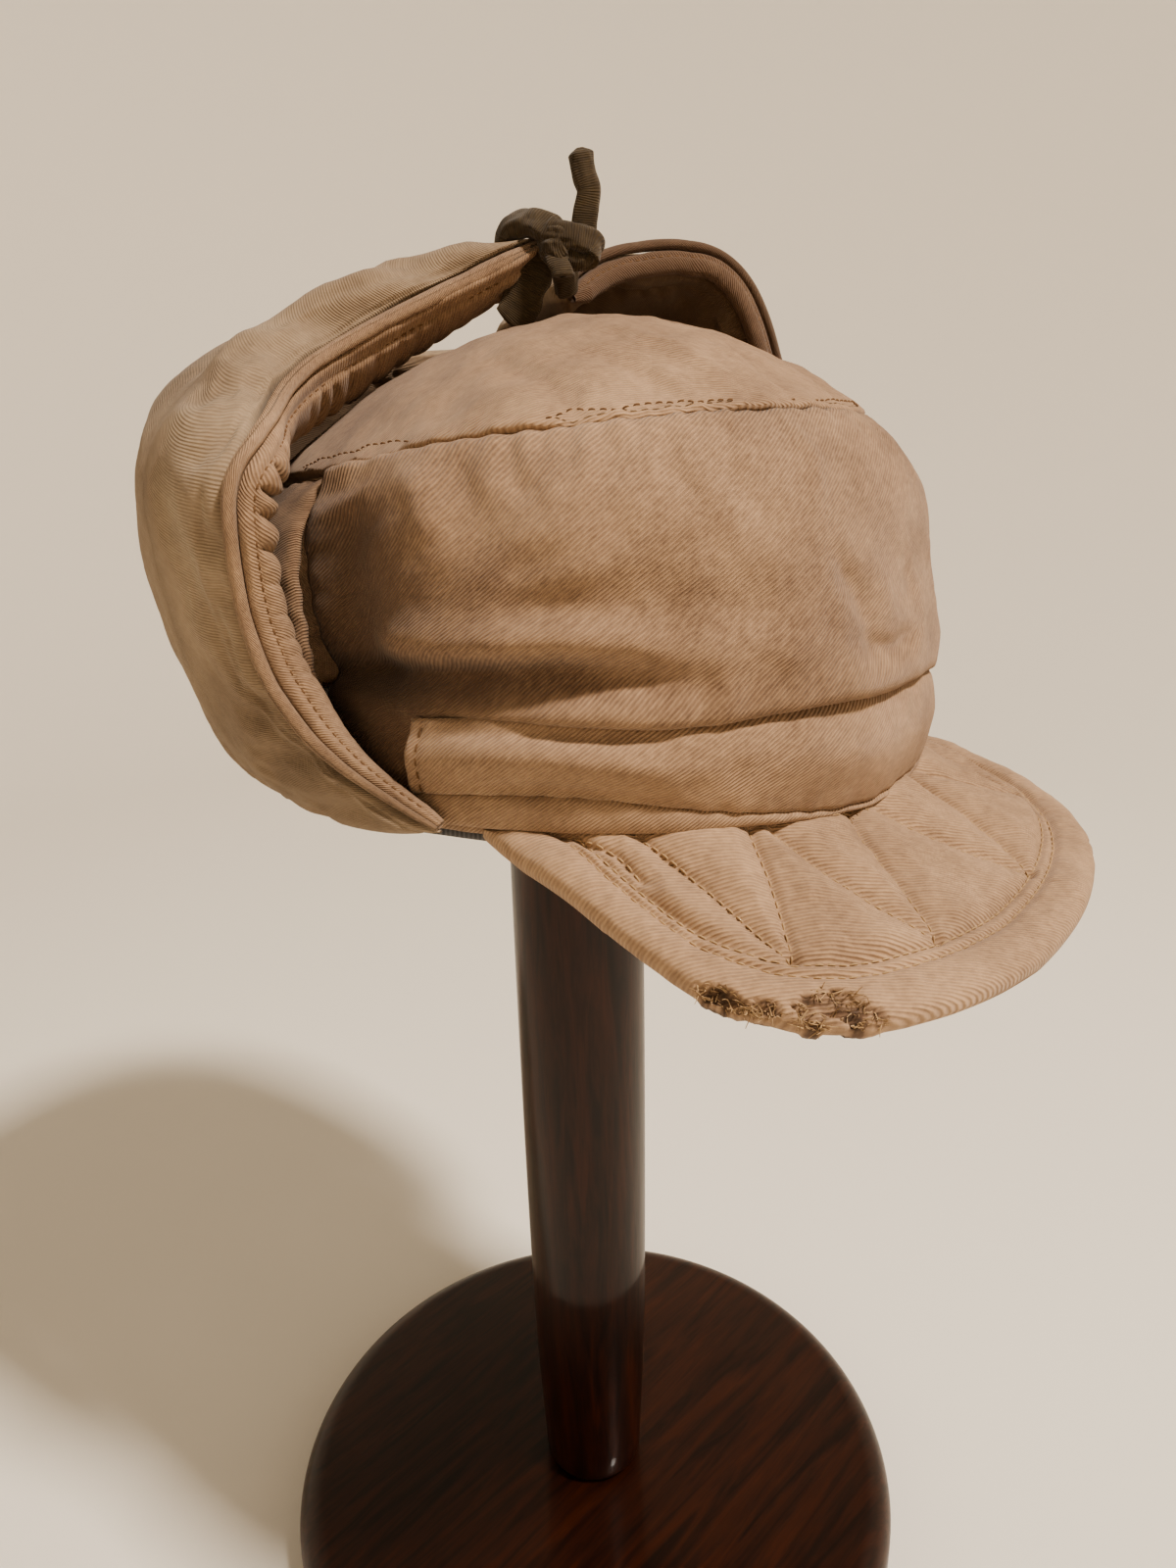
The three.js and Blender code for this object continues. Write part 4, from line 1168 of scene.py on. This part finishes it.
def make_frayed_threads(name, material):
    """Broken threads that stand up round the peak's torn places and curl over them."""
    random = np.random.default_rng(7)
    u, share = random.uniform(0.1, 0.6, FRAY_TRIES), 1 - random.uniform(0, 0.3, FRAY_TRIES)
    wear = peak_wear(u, share)
    picked = np.concatenate([np.flatnonzero((wear > 0.15) & (wear < 0.9))[:FRAYS_ROUND_TEARS],
                             np.flatnonzero(wear > 0.95)[:FRAYS_IN_TEARS]])
    place, normal = on_face(peak_top, peak_relief, u[picked], share[picked], -0.5)
    seam, seam_normal = on_face(peak_top, peak_relief, random.uniform(0.44, 0.5, FRAYS_AT_HEM),
                                random.uniform(0.0, 0.05, FRAYS_AT_HEM), 0.1)
    place, normal = np.concatenate([place, seam]), np.concatenate([normal, seam_normal])
    count = len(place)
    way = unit(random.normal(size=(count, 3)) * (1, 1, 0.5) + 0.35 * normal)
    curl = unit(random.normal(size=(count, 3)) + (0, 0, -0.9))
    length = random.uniform(*FRAY_LENGTHS, count)
    t = np.linspace(0, 1, 6)
    bend = np.einsum("n,t,nk->ntk", length * random.uniform(0.2, 0.7, count), t ** 2, curl)
    paths = place[:, None] + np.einsum("n,t,nk->ntk", length, t, way) + bend
    along = unit(np.gradient(paths, axis=1))
    side = unit(np.cross(along, normal[:, None] + 0.01))
    over = np.cross(along, side)
    turn = np.radians(np.arange(0, 360, 72))
    girth = FRAY_RADIUS * (1 - 0.6 * t)[:, None, None]
    rings = (paths[:, :, None] + side[:, :, None] * girth * np.cos(turn)[:, None]
             + over[:, :, None] * girth * np.sin(turn)[:, None])
    points, faces = joined(rings)
    tone = np.repeat(np.clip(random.normal(0.1, 0.28, count), -0.2, 0.7), rings.shape[1] * rings.shape[2])
    make_piece(name, to_metres(points), faces, material, attributes={"tone": tone})


# ---------------------------------------------------------------- the flap

FLAP_WALL = 9
INNER_FACE_PAINTED_SHADE = 0.5  # how much darker the flap's inner face is: painted shade, in part a guess at kept dye


def flap_half(v):
    """Half the flap's thickness, which grows from the hem and falls a little towards the free edge."""
    return FLAP_WALL / 2 * (0.45 + 0.55 * ease(0, 0.22, v)) * (1 - 0.15 * ease(0.92, 1, v))


FLAP_FOLDS = [  # as the crown's, with paths in 360ths of the way round and 120ths of the way up
    ([(6, 24), (26, 30), (48, 26)], 6, -1.6),
    ([(10, 12), (34, 14), (60, 10)], 5, 1.8),
    ([(8, 46), (20, 52), (34, 66)], 6, -1.5),
    ([(12, 74), (28, 82), (50, 84)], 7, -1.4),
    ([(14, 100), (30, 104), (60, 96)], 8, 1.2),
    ([(70, 20), (100, 26), (130, 18)], 7, -1.5),
    ([(90, 60), (130, 70), (160, 62)], 9, -1.3),
    ([(120, 40), (160, 34), (200, 42)], 8, 1.4),
    ([(150, 96), (190, 88), (230, 94)], 8, -1.4),
    ([(210, 22), (250, 30), (290, 22)], 7, -1.5),
    ([(240, 64), (280, 72), (320, 60)], 9, 1.3),
    ([(300, 30), (330, 40), (352, 36)], 7, -1.5),
]


def flap_relief(u, v):
    spot = flap_middle(u, v)
    x, y = 360 * np.asarray(u, float) + 0 * v, 120 * np.asarray(v, float) + 0 * u
    inset = np.minimum(x, 360 - x)
    swell = folds_at(FLAP_FOLDS, x, y) + 1.2 * rough(spot, 34, 71) + 0.3 * rough(spot, 10, 72)
    return swell * ease(0, 0.1, v) * ease(1, 0.94, v) - 0.8 * bell((inset - 7) / 1.2)


def make_flap(look):
    twill, thread = twill_and_thread(look)
    us, vs = np.linspace(0, 1, 300), np.linspace(0, 1, 110)
    u, v = np.meshgrid(us, vs, indexing="ij")
    base, normal = flap_middle(u, v), normals_of(flap_middle, u, v)
    lay = lay_of(base)
    inset = np.minimum(np.minimum(lay[..., 0] - lay[:1, :, 0], lay[-1:, :, 0] - lay[..., 0]),
                       np.minimum(lay[..., 1], lay[:, -1:, 1] - lay[..., 1]))
    half = flap_half(v)
    half = half - np.minimum(rounding(inset, 4.0), half * 0.8)
    relief = flap_relief(u, v)
    outer = base + normal * (half + relief)[..., None]
    inner = base - normal * (half - 0.5 * relief)[..., None]
    coarse = np.ix_(np.linspace(0, len(us) - 1, 100).round().astype(int),
                    np.linspace(0, len(vs) - 1, 34).round().astype(int))
    sewn = np.maximum(ease(4, 2, inset), bell((inset - 9) / 1.5))[coarse]
    pushed = fill_out(outer[coarse], inner[coarse], sewn)
    outer, inner = (face + spread_over(push, len(us), len(vs))
                    for face, push in zip((outer, inner), pushed))
    # the inner face's tone is painted shade
    points, faces, data = two_sided(outer, inner, {"lay": lay, "tone": 0 * u},
                                    {"lay": lay, "tone": 0 * u + INNER_FACE_PAINTED_SHADE})
    flap = make_piece("flap_padded", to_metres(points), faces, close_woven_poplin(look),
                      ["flap"], data)
    for side, end in (("right", 0), ("left", 1)):
        make_roll(f"flap_roll_padded_{side}", end, twill, ROLL[side], f"flap_roll_{side}")
        make_roll(f"flap_hem_ridge_{side}", end, twill, HEM_RIDGE, f"flap_hem_{side}")
        make_stitches(f"flap_stitches_{side}", [roll_seam(end, ROLL[side])], thread,
                      length=1.5, gap=1.0, width=0.5, lift=0.12)


# The rolled edge and the hem ridge beside it: offset from the flap's middle, half widths across the flap's
# thickness and ahead of its end, how far the lobe's part hangs, and the depth of the gathers.
ROLL = {
    "right": {"offset": -1.5, "across": 4.4, "ahead": 3.4, "hang": 5.6, "gathers": 1.0},
    "left": {"offset": -1.0, "across": 3.3, "ahead": 2.5, "hang": 0, "gathers": 0.12},
}
EDGE_PAINTED_SHADE = (0.08, 0.6)  # how much darker the right and the left edge are: painted shade, mostly on the left edge, in part a guess at kept dye
HEM_RIDGE = {"offset": 4.2, "across": 1.5, "ahead": 2.0, "hang": 0, "gathers": 0}
ROLL_GAP = 0.5
RUFFLE_PITCH = 6.6
TIP_RISE = 2.4  # of the hanging roll at the lobe's tip
SEAM_PLACE = 0.47  # of the roll's half width out from its middle, where its seam runs
GATHER_SWELL = 0.45  # share by which a gather of full depth makes the roll wider
SEAM_DENT = 0.22
SEAM_LIP = 0.05


def roll_frame(end, v):
    """Middle of the flap's end, the flap's outward normal and the way off the end, for each v."""
    lead = -1 if end == 0 else 1
    normal = normals_of(flap_middle, end, v)
    forward = flap_middle(end + 0.002 * lead, v) - flap_middle(end - 0.002 * lead, v)
    rise = unit(flap_middle(end, v + 0.01) - flap_middle(end, v - 0.01))
    forward = unit(forward - rise * (forward * rise).sum(-1, keepdims=True))
    middle = flap_middle(end, v)
    return middle, normal, forward, lengths_along(middle)


def roll_point(end, v, turn, shape, lift=0.0):
    """Points of a roll's skin: rows along v, columns round its section. No turn gives the seam alone."""
    middle, normal, forward, run = roll_frame(end, v)
    spot = np.stack([run, 0 * run], -1)
    lower = shape["hang"] * ease(0.6, 0.86, v)  # the lobe's part of the roll hangs down
    wide = shape["across"] + lower
    seam = np.arccos((shape["across"] * SEAM_PLACE + lower) / wide)[:, None]
    turn = seam if turn is None else turn
    gathered = shape["gathers"] * (ease(0.1, 0.42, v) * 0.45 + bell((v - 0.6) / 0.17))
    gathered = gathered * (1 + 0.7 * lumps(spot, 15, 84))
    phase = np.pi * (run + 2.6 * lumps(spot, 14, 81) + 1.2 * lumps(spot, 6, 82)) / RUFFLE_PITCH
    pillow = np.abs(np.sin(phase[:, None] + 0.5 * (turn - seam))) ** 0.55 - 0.7
    ends = np.sqrt(np.clip(np.minimum((v + 0.02) / 0.05, (1.006 - v) / 0.04), 0.03, 1))  # rounded off
    size = (0.4 + 0.6 * ease(0, 0.25, v)) * ends
    inner = ease(seam + 0.05, seam + 0.55, turn) * ease(seam + 3.2, seam + 2.0, turn)
    grow = 1 + GATHER_SWELL * gathered[:, None] * pillow * inner
    grow = grow + 0.06 * lumps(np.stack(np.broadcast_arrays(run[:, None], 4 * turn), -1), 6, 83)
    if shape["gathers"] > 0:  # a dent along the seam, and a lip beside it
        grow = (grow - SEAM_DENT * bell((turn - seam) / 0.15)
                + SEAM_LIP * bell((turn - seam + 0.42) / 0.2))
    wide, deep = (wide * size)[:, None], (shape["ahead"] * size)[:, None]
    rise = TIP_RISE * ease(0.84, 0.98, v) * ease(0, 3, shape["hang"])
    centre = (middle + normal * ((shape["offset"] - lower) * size + rise)[:, None]
              + forward * (ROLL_GAP + deep * 0.9))
    return (centre[:, None] + normal[:, None] * ((wide * grow + lift) * np.cos(turn))[..., None]
            + forward[:, None] * ((deep * grow + lift) * np.sin(turn))[..., None]), run


def make_roll(name, end, material, shape, replaced):
    """A rolled edge along a front edge of the flap: end 0 is the right edge and 1 the left."""
    v = np.linspace(0.004, 1, 420)
    turn = np.radians(np.arange(0, 360, 9))
    rings, run = roll_point(end, v, turn, shape)
    points, faces = ring_body(rings)
    x, y = np.broadcast_arrays(4 * turn, run[:, None])
    lay = np.stack([x, y, 0 * y], -1)
    # the roll's tone is painted shade, darkest on the left edge
    make_piece(name, to_metres(points), faces, material, [replaced],
               {"lay": lay, "tone": np.full(len(points), EDGE_PAINTED_SHADE[end])})


def roll_seam(end, shape):
    """The run of stitches along a roll's seam."""
    v = np.linspace(0.03, 0.97, 400)
    skin, _ = roll_point(end, v, None, shape, 0.02)
    raised, _ = roll_point(end, v, None, shape, 1.0)
    return skin[:, 0], unit(raised[:, 0] - skin[:, 0])


# ---------------------------------------------------------------- the ties

TAPES = {  # path of points from the middle of the hem plane, width, thickness, and the way the width lies
    "tie_loop_right": ([(-11.4, 10, 127.5), (-10.9, 9.6, 130.4), (-10.9, 8, 132.2), (-10.4, 4.4, 133.2),
                        (-9.2, 0.6, 133.2), (-8, -2.6, 131.6), (-7.2, -4.6, 129.6)],
                       8.0, 5.4, (0.6, 0.5, 0.6)),
    "tie_loop_left": ([(-9.6, -3, 131.4), (-8.6, -6.2, 130), (-5.4, -9.6, 129.6), (-1.6, -11.6, 128.6),
                       (-0.6, -11, 126), (-3, -8.8, 125), (-6.6, -6.6, 125.6)], 6.6, 4.4, (0.3, 0.3, 0.9)),
    "tie_end_up": ([(-2.6, -8.6, 127.6), (-0.7, -8.3, 131.5), (-0.4, -8.6, 136.3), (0, -9.1, 140.8),
                    (-0.9, -8.1, 145.2), (-1.7, -7.2, 150.4)], 6.0, 3.8, (0.72, -0.69, 0)),
    "tie_end_down": ([(-8.4, -6, 127.4), (-9, -7, 124.7), (-9.2, -8.6, 122), (-9.4, -9.3, 120)],
                     5.5, 2.4, (0.72, -0.69, 0)),
}
STRANDS = {  # from the knot to the left lobe, and from the right lobe's tip down to the crown
    "tie_strand_left": ([(-8, -5, 128.6), (-3.5, -2.4, 128.2), (2, 1.4, 126), (6.4, 4.8, 122.4),
                         (10.5, 8, 118)], 6.4, 3.4, (0.6, -0.6, 0.5)),
    "tie_strand_right": ([(-8.2, 0, 128), (-8.7, 1.6, 122.5), (-10.3, 3.3, 116.6), (-12, 5.1, 111.8),
                          (-13.4, 6.4, 109.4)], 9.5, 3, (0.69, -0.73, 0)),
}
KNOT_CENTRE = (-7, -5, 127.8)
KNOT_RADIUS = 4.8


def tape_rings(path, width, thick, across, seed):
    """Rings of a soft, bunched tape along a path, with creases that run along it and a rounded end."""
    t = np.linspace(0, 1, 90)
    centre = curve_through_points(np.asarray(path, float), t)
    along = unit(np.gradient(centre, axis=0))
    wide = unit(np.asarray(across, float) - along * (along @ np.asarray(across, float))[:, None])
    flat = np.cross(along, wide)
    turn = np.radians(np.arange(0, 360, 9))
    x = np.sign(np.cos(turn)) * np.abs(np.cos(turn)) ** 0.7 * width / 2
    y = np.sign(np.sin(turn)) * np.abs(np.sin(turn)) ** 0.8 * thick / 2
    run = lengths_along(centre)[:, None]
    place = np.stack(np.broadcast_arrays(run * 0.5, x, y), -1)
    crease = 0.4 * lumps(place, 1.7, seed) + 0.35 * lumps(place * (0.4, 1, 1), 1.1, seed + 1)
    ends = np.sqrt(np.clip(np.minimum(t, 1 - t) / 0.05, 0.1, 1))[:, None]
    twist = np.radians(22) * lumps(np.stack([run, 0 * run], -1), 9, seed + 2)
    x, y = (x * np.cos(twist) - y * np.sin(twist)) * ends, (x * np.sin(twist) + y * np.cos(twist)) * ends
    grow = 1 + crease * 0.35
    rings = (centre[:, None] + wide[:, None] * (x * grow)[..., None]
             + flat[:, None] * (y * grow)[..., None])
    lay = np.stack(np.broadcast_arrays(np.degrees(turn) * 0.05, run, 0.0), -1)
    return rings, lay


def make_ties(look):
    tape = cotton_tape(look)
    tapes = {**TAPES, **STRANDS}
    for seed, (name, (path, width, thick, across)) in enumerate(tapes.items()):
        rings, lay = tape_rings(path, width, thick, across, 91 + 5 * seed)
        points, faces = ring_body(rings)
        make_piece(name + "_tape", to_metres(points), faces, tape,
                   [name] if name in TAPES else [], {"lay": lay})
    tilt, turn = np.meshgrid(np.radians(np.linspace(-88, 88, 60)), np.radians(np.arange(0, 360, 5)),
                             indexing="ij")
    ball = np.stack([np.cos(tilt) * np.cos(turn), np.cos(tilt) * np.sin(turn), np.sin(tilt)], -1)
    wraps = 0.1 * np.sin(5 * (ball @ np.array([0.8, 0.3, 1.0])) + 1) + 0.12 * rough(ball, 0.5, 95)
    rings = np.array(KNOT_CENTRE) + ball * KNOT_RADIUS * (1 + wraps)[..., None]
    points, faces = ring_body(rings)
    make_piece("tie_knot_tape", to_metres(points), faces, tape, ["tie_knot"],
               {"lay": ball * 6})


# ---------------------------------------------------------------- the stage

COVE_RADIUS = 0.6
FLOOR_DROP = 0.0002  # keeps the paper just under the base
LAMPS_AIM = (0, 0, 0.33)
LAMP_SPREAD = 130
FILL_SIZE = 1.4
CAMERA_PLACE = (-0.2307, -0.2228, 0.4013)
CAMERA_TURNS = (("Z", -46.71), ("X", 69.92), ("Z", -1.45))
CAMERA_LENS = 26.55
CAMERA_SENSOR = 36


def make_stage(look):
    """A pale paper floor that turns up into a wall all round, soft lights, and the camera."""
    bend = np.radians(np.linspace(5, 90, 14))
    flat = np.linspace(0.02, look.floor_radius, 12)
    reach = np.concatenate([flat, look.floor_radius + COVE_RADIUS * np.sin(bend),
                            [look.floor_radius + COVE_RADIUS]])
    climb = np.concatenate([0 * flat, COVE_RADIUS * (1 - np.cos(bend)), [look.wall_height]])
    turn = np.radians(np.arange(0, 360, 5))
    points = np.stack(np.broadcast_arrays(reach[:, None] * np.cos(turn), reach[:, None] * np.sin(turn),
                                          climb[:, None] - FLOOR_DROP), -1)
    faces = grid_quads(len(reach), len(turn), closed_columns=True)[:, ::-1]
    floor = add_object("floor", new_mesh("floor", points, [*faces, range(len(turn))], studio_paper(look)))

    for name, place, size, power, tint in (
        ("key", look.key_place, look.key_size, look.key_power, "#FFF5EA"),
        ("fill", look.fill_place, FILL_SIZE, look.fill_power, "#F4F6FF"),
    ):
        data = bpy.data.lights.new(name, "AREA")
        data.size, data.energy, data.spread = size, power, math.radians(LAMP_SPREAD)
        data.color = linear(tint)[:3]
        lamp = add_object(name, data)
        lamp.location = place
        lamp.rotation_euler = (Vector(LAMPS_AIM) - Vector(place)).to_track_quat("-Z", "Y").to_euler()

    scene = bpy.context.scene
    world = bpy.data.worlds.new("studio")
    world.use_nodes = True
    set_inputs(world.node_tree.nodes["Background"], {"Color": linear("#EFEBE4"), "Strength": look.ambient})
    scene.world = world
    scene.view_settings.look = "AgX - Medium High Contrast"

    data = bpy.data.cameras.new("view")
    data.lens, data.sensor_fit, data.sensor_height = CAMERA_LENS, "VERTICAL", CAMERA_SENSOR
    scene.camera = add_object("view", data)
    pose = Matrix.Translation(CAMERA_PLACE)
    for axis, degrees in CAMERA_TURNS:
        pose = pose @ Matrix.Rotation(math.radians(degrees), 4, axis)
    scene.camera.matrix_world = pose


# ---------------------------------------------------------------- settings, operators and panel

def colour(name, description, default):
    return StringProperty(name=name, description=description, default=default)


class StageSettings(bpy.types.PropertyGroup):
    floor: colour("Floor", "Colour of the paper floor", "#F0EADF")
    floor_radius: FloatProperty(name="Floor radius", description="Reach of the flat part of the floor",
                                default=0.9, min=0.5, unit="LENGTH")
    wall_height: FloatProperty(name="Wall height", description="How high the paper goes all round",
                               default=2.2, min=0.8, unit="LENGTH")
    key_place: FloatVectorProperty(name="Key light", description="Place of the main light",
                                   default=(0.16, -1.13, 1.97), unit="LENGTH")
    key_size: FloatProperty(name="Key size", description="Width of the main light", default=0.22,
                            min=0.05, unit="LENGTH")
    key_power: FloatProperty(name="Key power", description="Strength of the main light", default=26,
                             min=0, unit="POWER")
    fill_place: FloatVectorProperty(name="Fill light", description="Place of the weaker light",
                                    default=(-1.6, -0.5, 1.0), unit="LENGTH")
    fill_power: FloatProperty(name="Fill power", description="Strength of the weaker light", default=1.5,
                              min=0, unit="POWER")
    ambient: FloatProperty(name="Ambient", description="Light that comes from all round", default=0.05,
                           min=0)


class StandSettings(bpy.types.PropertyGroup):
    wood_dark: colour("Dark grain", "Colour of the wood's dark grain", "#1A0A05")
    wood_light: colour("Light grain", "Colour of the wood's light grain", "#3A1A0C")
    base_round: FloatProperty(name="Base edge", description="Radius of the base's rounded edge",
                              default=0.0095, min=0.002, max=0.015, unit="LENGTH")


class ClothSettings(bpy.types.PropertyGroup):
    twill_pale: colour("Pale twill", "Twill where it has faded most", "#B99A7C")
    twill_dark: colour("Dark twill", "Twill where it has kept its dye", "#6F5643")
    twill_rib: FloatProperty(name="Twill ribs", description="Spacing of the diagonal ribs, in millimetres",
                             default=0.7, min=0.5, max=4)
    poplin_pale: colour("Pale poplin", "Flap cloth where it has faded most", "#AB967D")
    poplin_dark: colour("Dark poplin", "Flap cloth where it has kept its dye", "#6E5B49")
    lining: colour("Lining", "Colour of the sweatband", "#2A2320")
    tape: colour("Tape", "Colour of the tie tapes where they are rubbed", "#57472F")
    thread: colour("Thread", "Colour of the stitches", "#6B4F37")
    pale_thread: colour("Pale thread", "Colour of the rubbed stitches on the peak", "#CDB08A")


class WinterCapSettings(bpy.types.PropertyGroup):
    stage: PointerProperty(type=StageSettings)
    stand: PointerProperty(type=StandSettings)
    cloth: PointerProperty(type=ClothSettings)


class CapStep:
    """Makes one group of pieces from its group of settings."""
    settings = "cloth"

    def execute(self, context):
        self.build(getattr(context.scene.winter_cap, self.settings))
        return {"FINISHED"}


class WINTERCAP_OT_stage(CapStep, bpy.types.Operator):
    """Lays the pale floor and sets the lights and the camera"""
    bl_idname = "winter_cap.make_stage"
    bl_label = "Floor, lights and camera"
    settings = "stage"
    build = staticmethod(make_stage)


class WINTERCAP_OT_stand(CapStep, bpy.types.Operator):
    """Turns the base, post and head of the wooden stand"""
    bl_idname = "winter_cap.make_stand"
    bl_label = "Wooden stand"
    settings = "stand"
    build = staticmethod(make_stand)


class WINTERCAP_OT_crown(CapStep, bpy.types.Operator):
    """Sews the crown from its front, back and top panels"""
    bl_idname = "winter_cap.make_crown"
    bl_label = "Crown"
    build = staticmethod(make_crown)


class WINTERCAP_OT_band(CapStep, bpy.types.Operator):
    """Adds the band across the front and the binding of the hem"""
    bl_idname = "winter_cap.make_band"
    bl_label = "Front band and hem binding"
    build = staticmethod(make_band)


class WINTERCAP_OT_sweatband(CapStep, bpy.types.Operator):
    """Lines the hem with the dark sweatband"""
    bl_idname = "winter_cap.make_sweatband"
    bl_label = "Sweatband"
    build = staticmethod(make_sweatband)


class WINTERCAP_OT_peak(CapStep, bpy.types.Operator):
    """Quilts the short padded peak"""
    bl_idname = "winter_cap.make_peak"
    bl_label = "Peak"
    build = staticmethod(make_peak)


class WINTERCAP_OT_flap(CapStep, bpy.types.Operator):
    """Pads the turned-up ear and neck flap and its rolled edges"""
    bl_idname = "winter_cap.make_flap"
    bl_label = "Ear and neck flap"
    build = staticmethod(make_flap)


class WINTERCAP_OT_ties(CapStep, bpy.types.Operator):
    """Ties the tapes between the two lobes"""
    bl_idname = "winter_cap.make_ties"
    bl_label = "Tie tapes and knot"
    build = staticmethod(make_ties)


STEPS = (WINTERCAP_OT_stage, WINTERCAP_OT_stand, WINTERCAP_OT_crown, WINTERCAP_OT_band,
         WINTERCAP_OT_sweatband, WINTERCAP_OT_peak, WINTERCAP_OT_flap, WINTERCAP_OT_ties)


class WINTERCAP_PT_panel(bpy.types.Panel):
    """Lists the pieces of the cap and their settings"""
    bl_idname = "WINTERCAP_PT_panel"
    bl_label = "Winter cap"
    bl_space_type = "VIEW_3D"
    bl_region_type = "UI"
    bl_category = "Winter cap"

    def draw(self, context):
        settings = context.scene.winter_cap
        for group in (settings.stage, settings.stand, settings.cloth):
            box = self.layout.box()
            for key in group.__annotations__:
                box.prop(group, key)
        for step in STEPS:
            self.layout.operator(step.bl_idname)


CLASSES = (StageSettings, StandSettings, ClothSettings, WinterCapSettings, *STEPS, WINTERCAP_PT_panel)


def register():
    for cls in CLASSES:
        bpy.utils.register_class(cls)
    bpy.types.Scene.winter_cap = PointerProperty(type=WinterCapSettings)


def unregister():
    del bpy.types.Scene.winter_cap
    for cls in reversed(CLASSES):
        bpy.utils.unregister_class(cls)


def main():
    register()
    for step in STEPS:
        group, name = step.bl_idname.split(".")
        getattr(getattr(bpy.ops, group), name)()


if __name__ == "__main__":
    main()
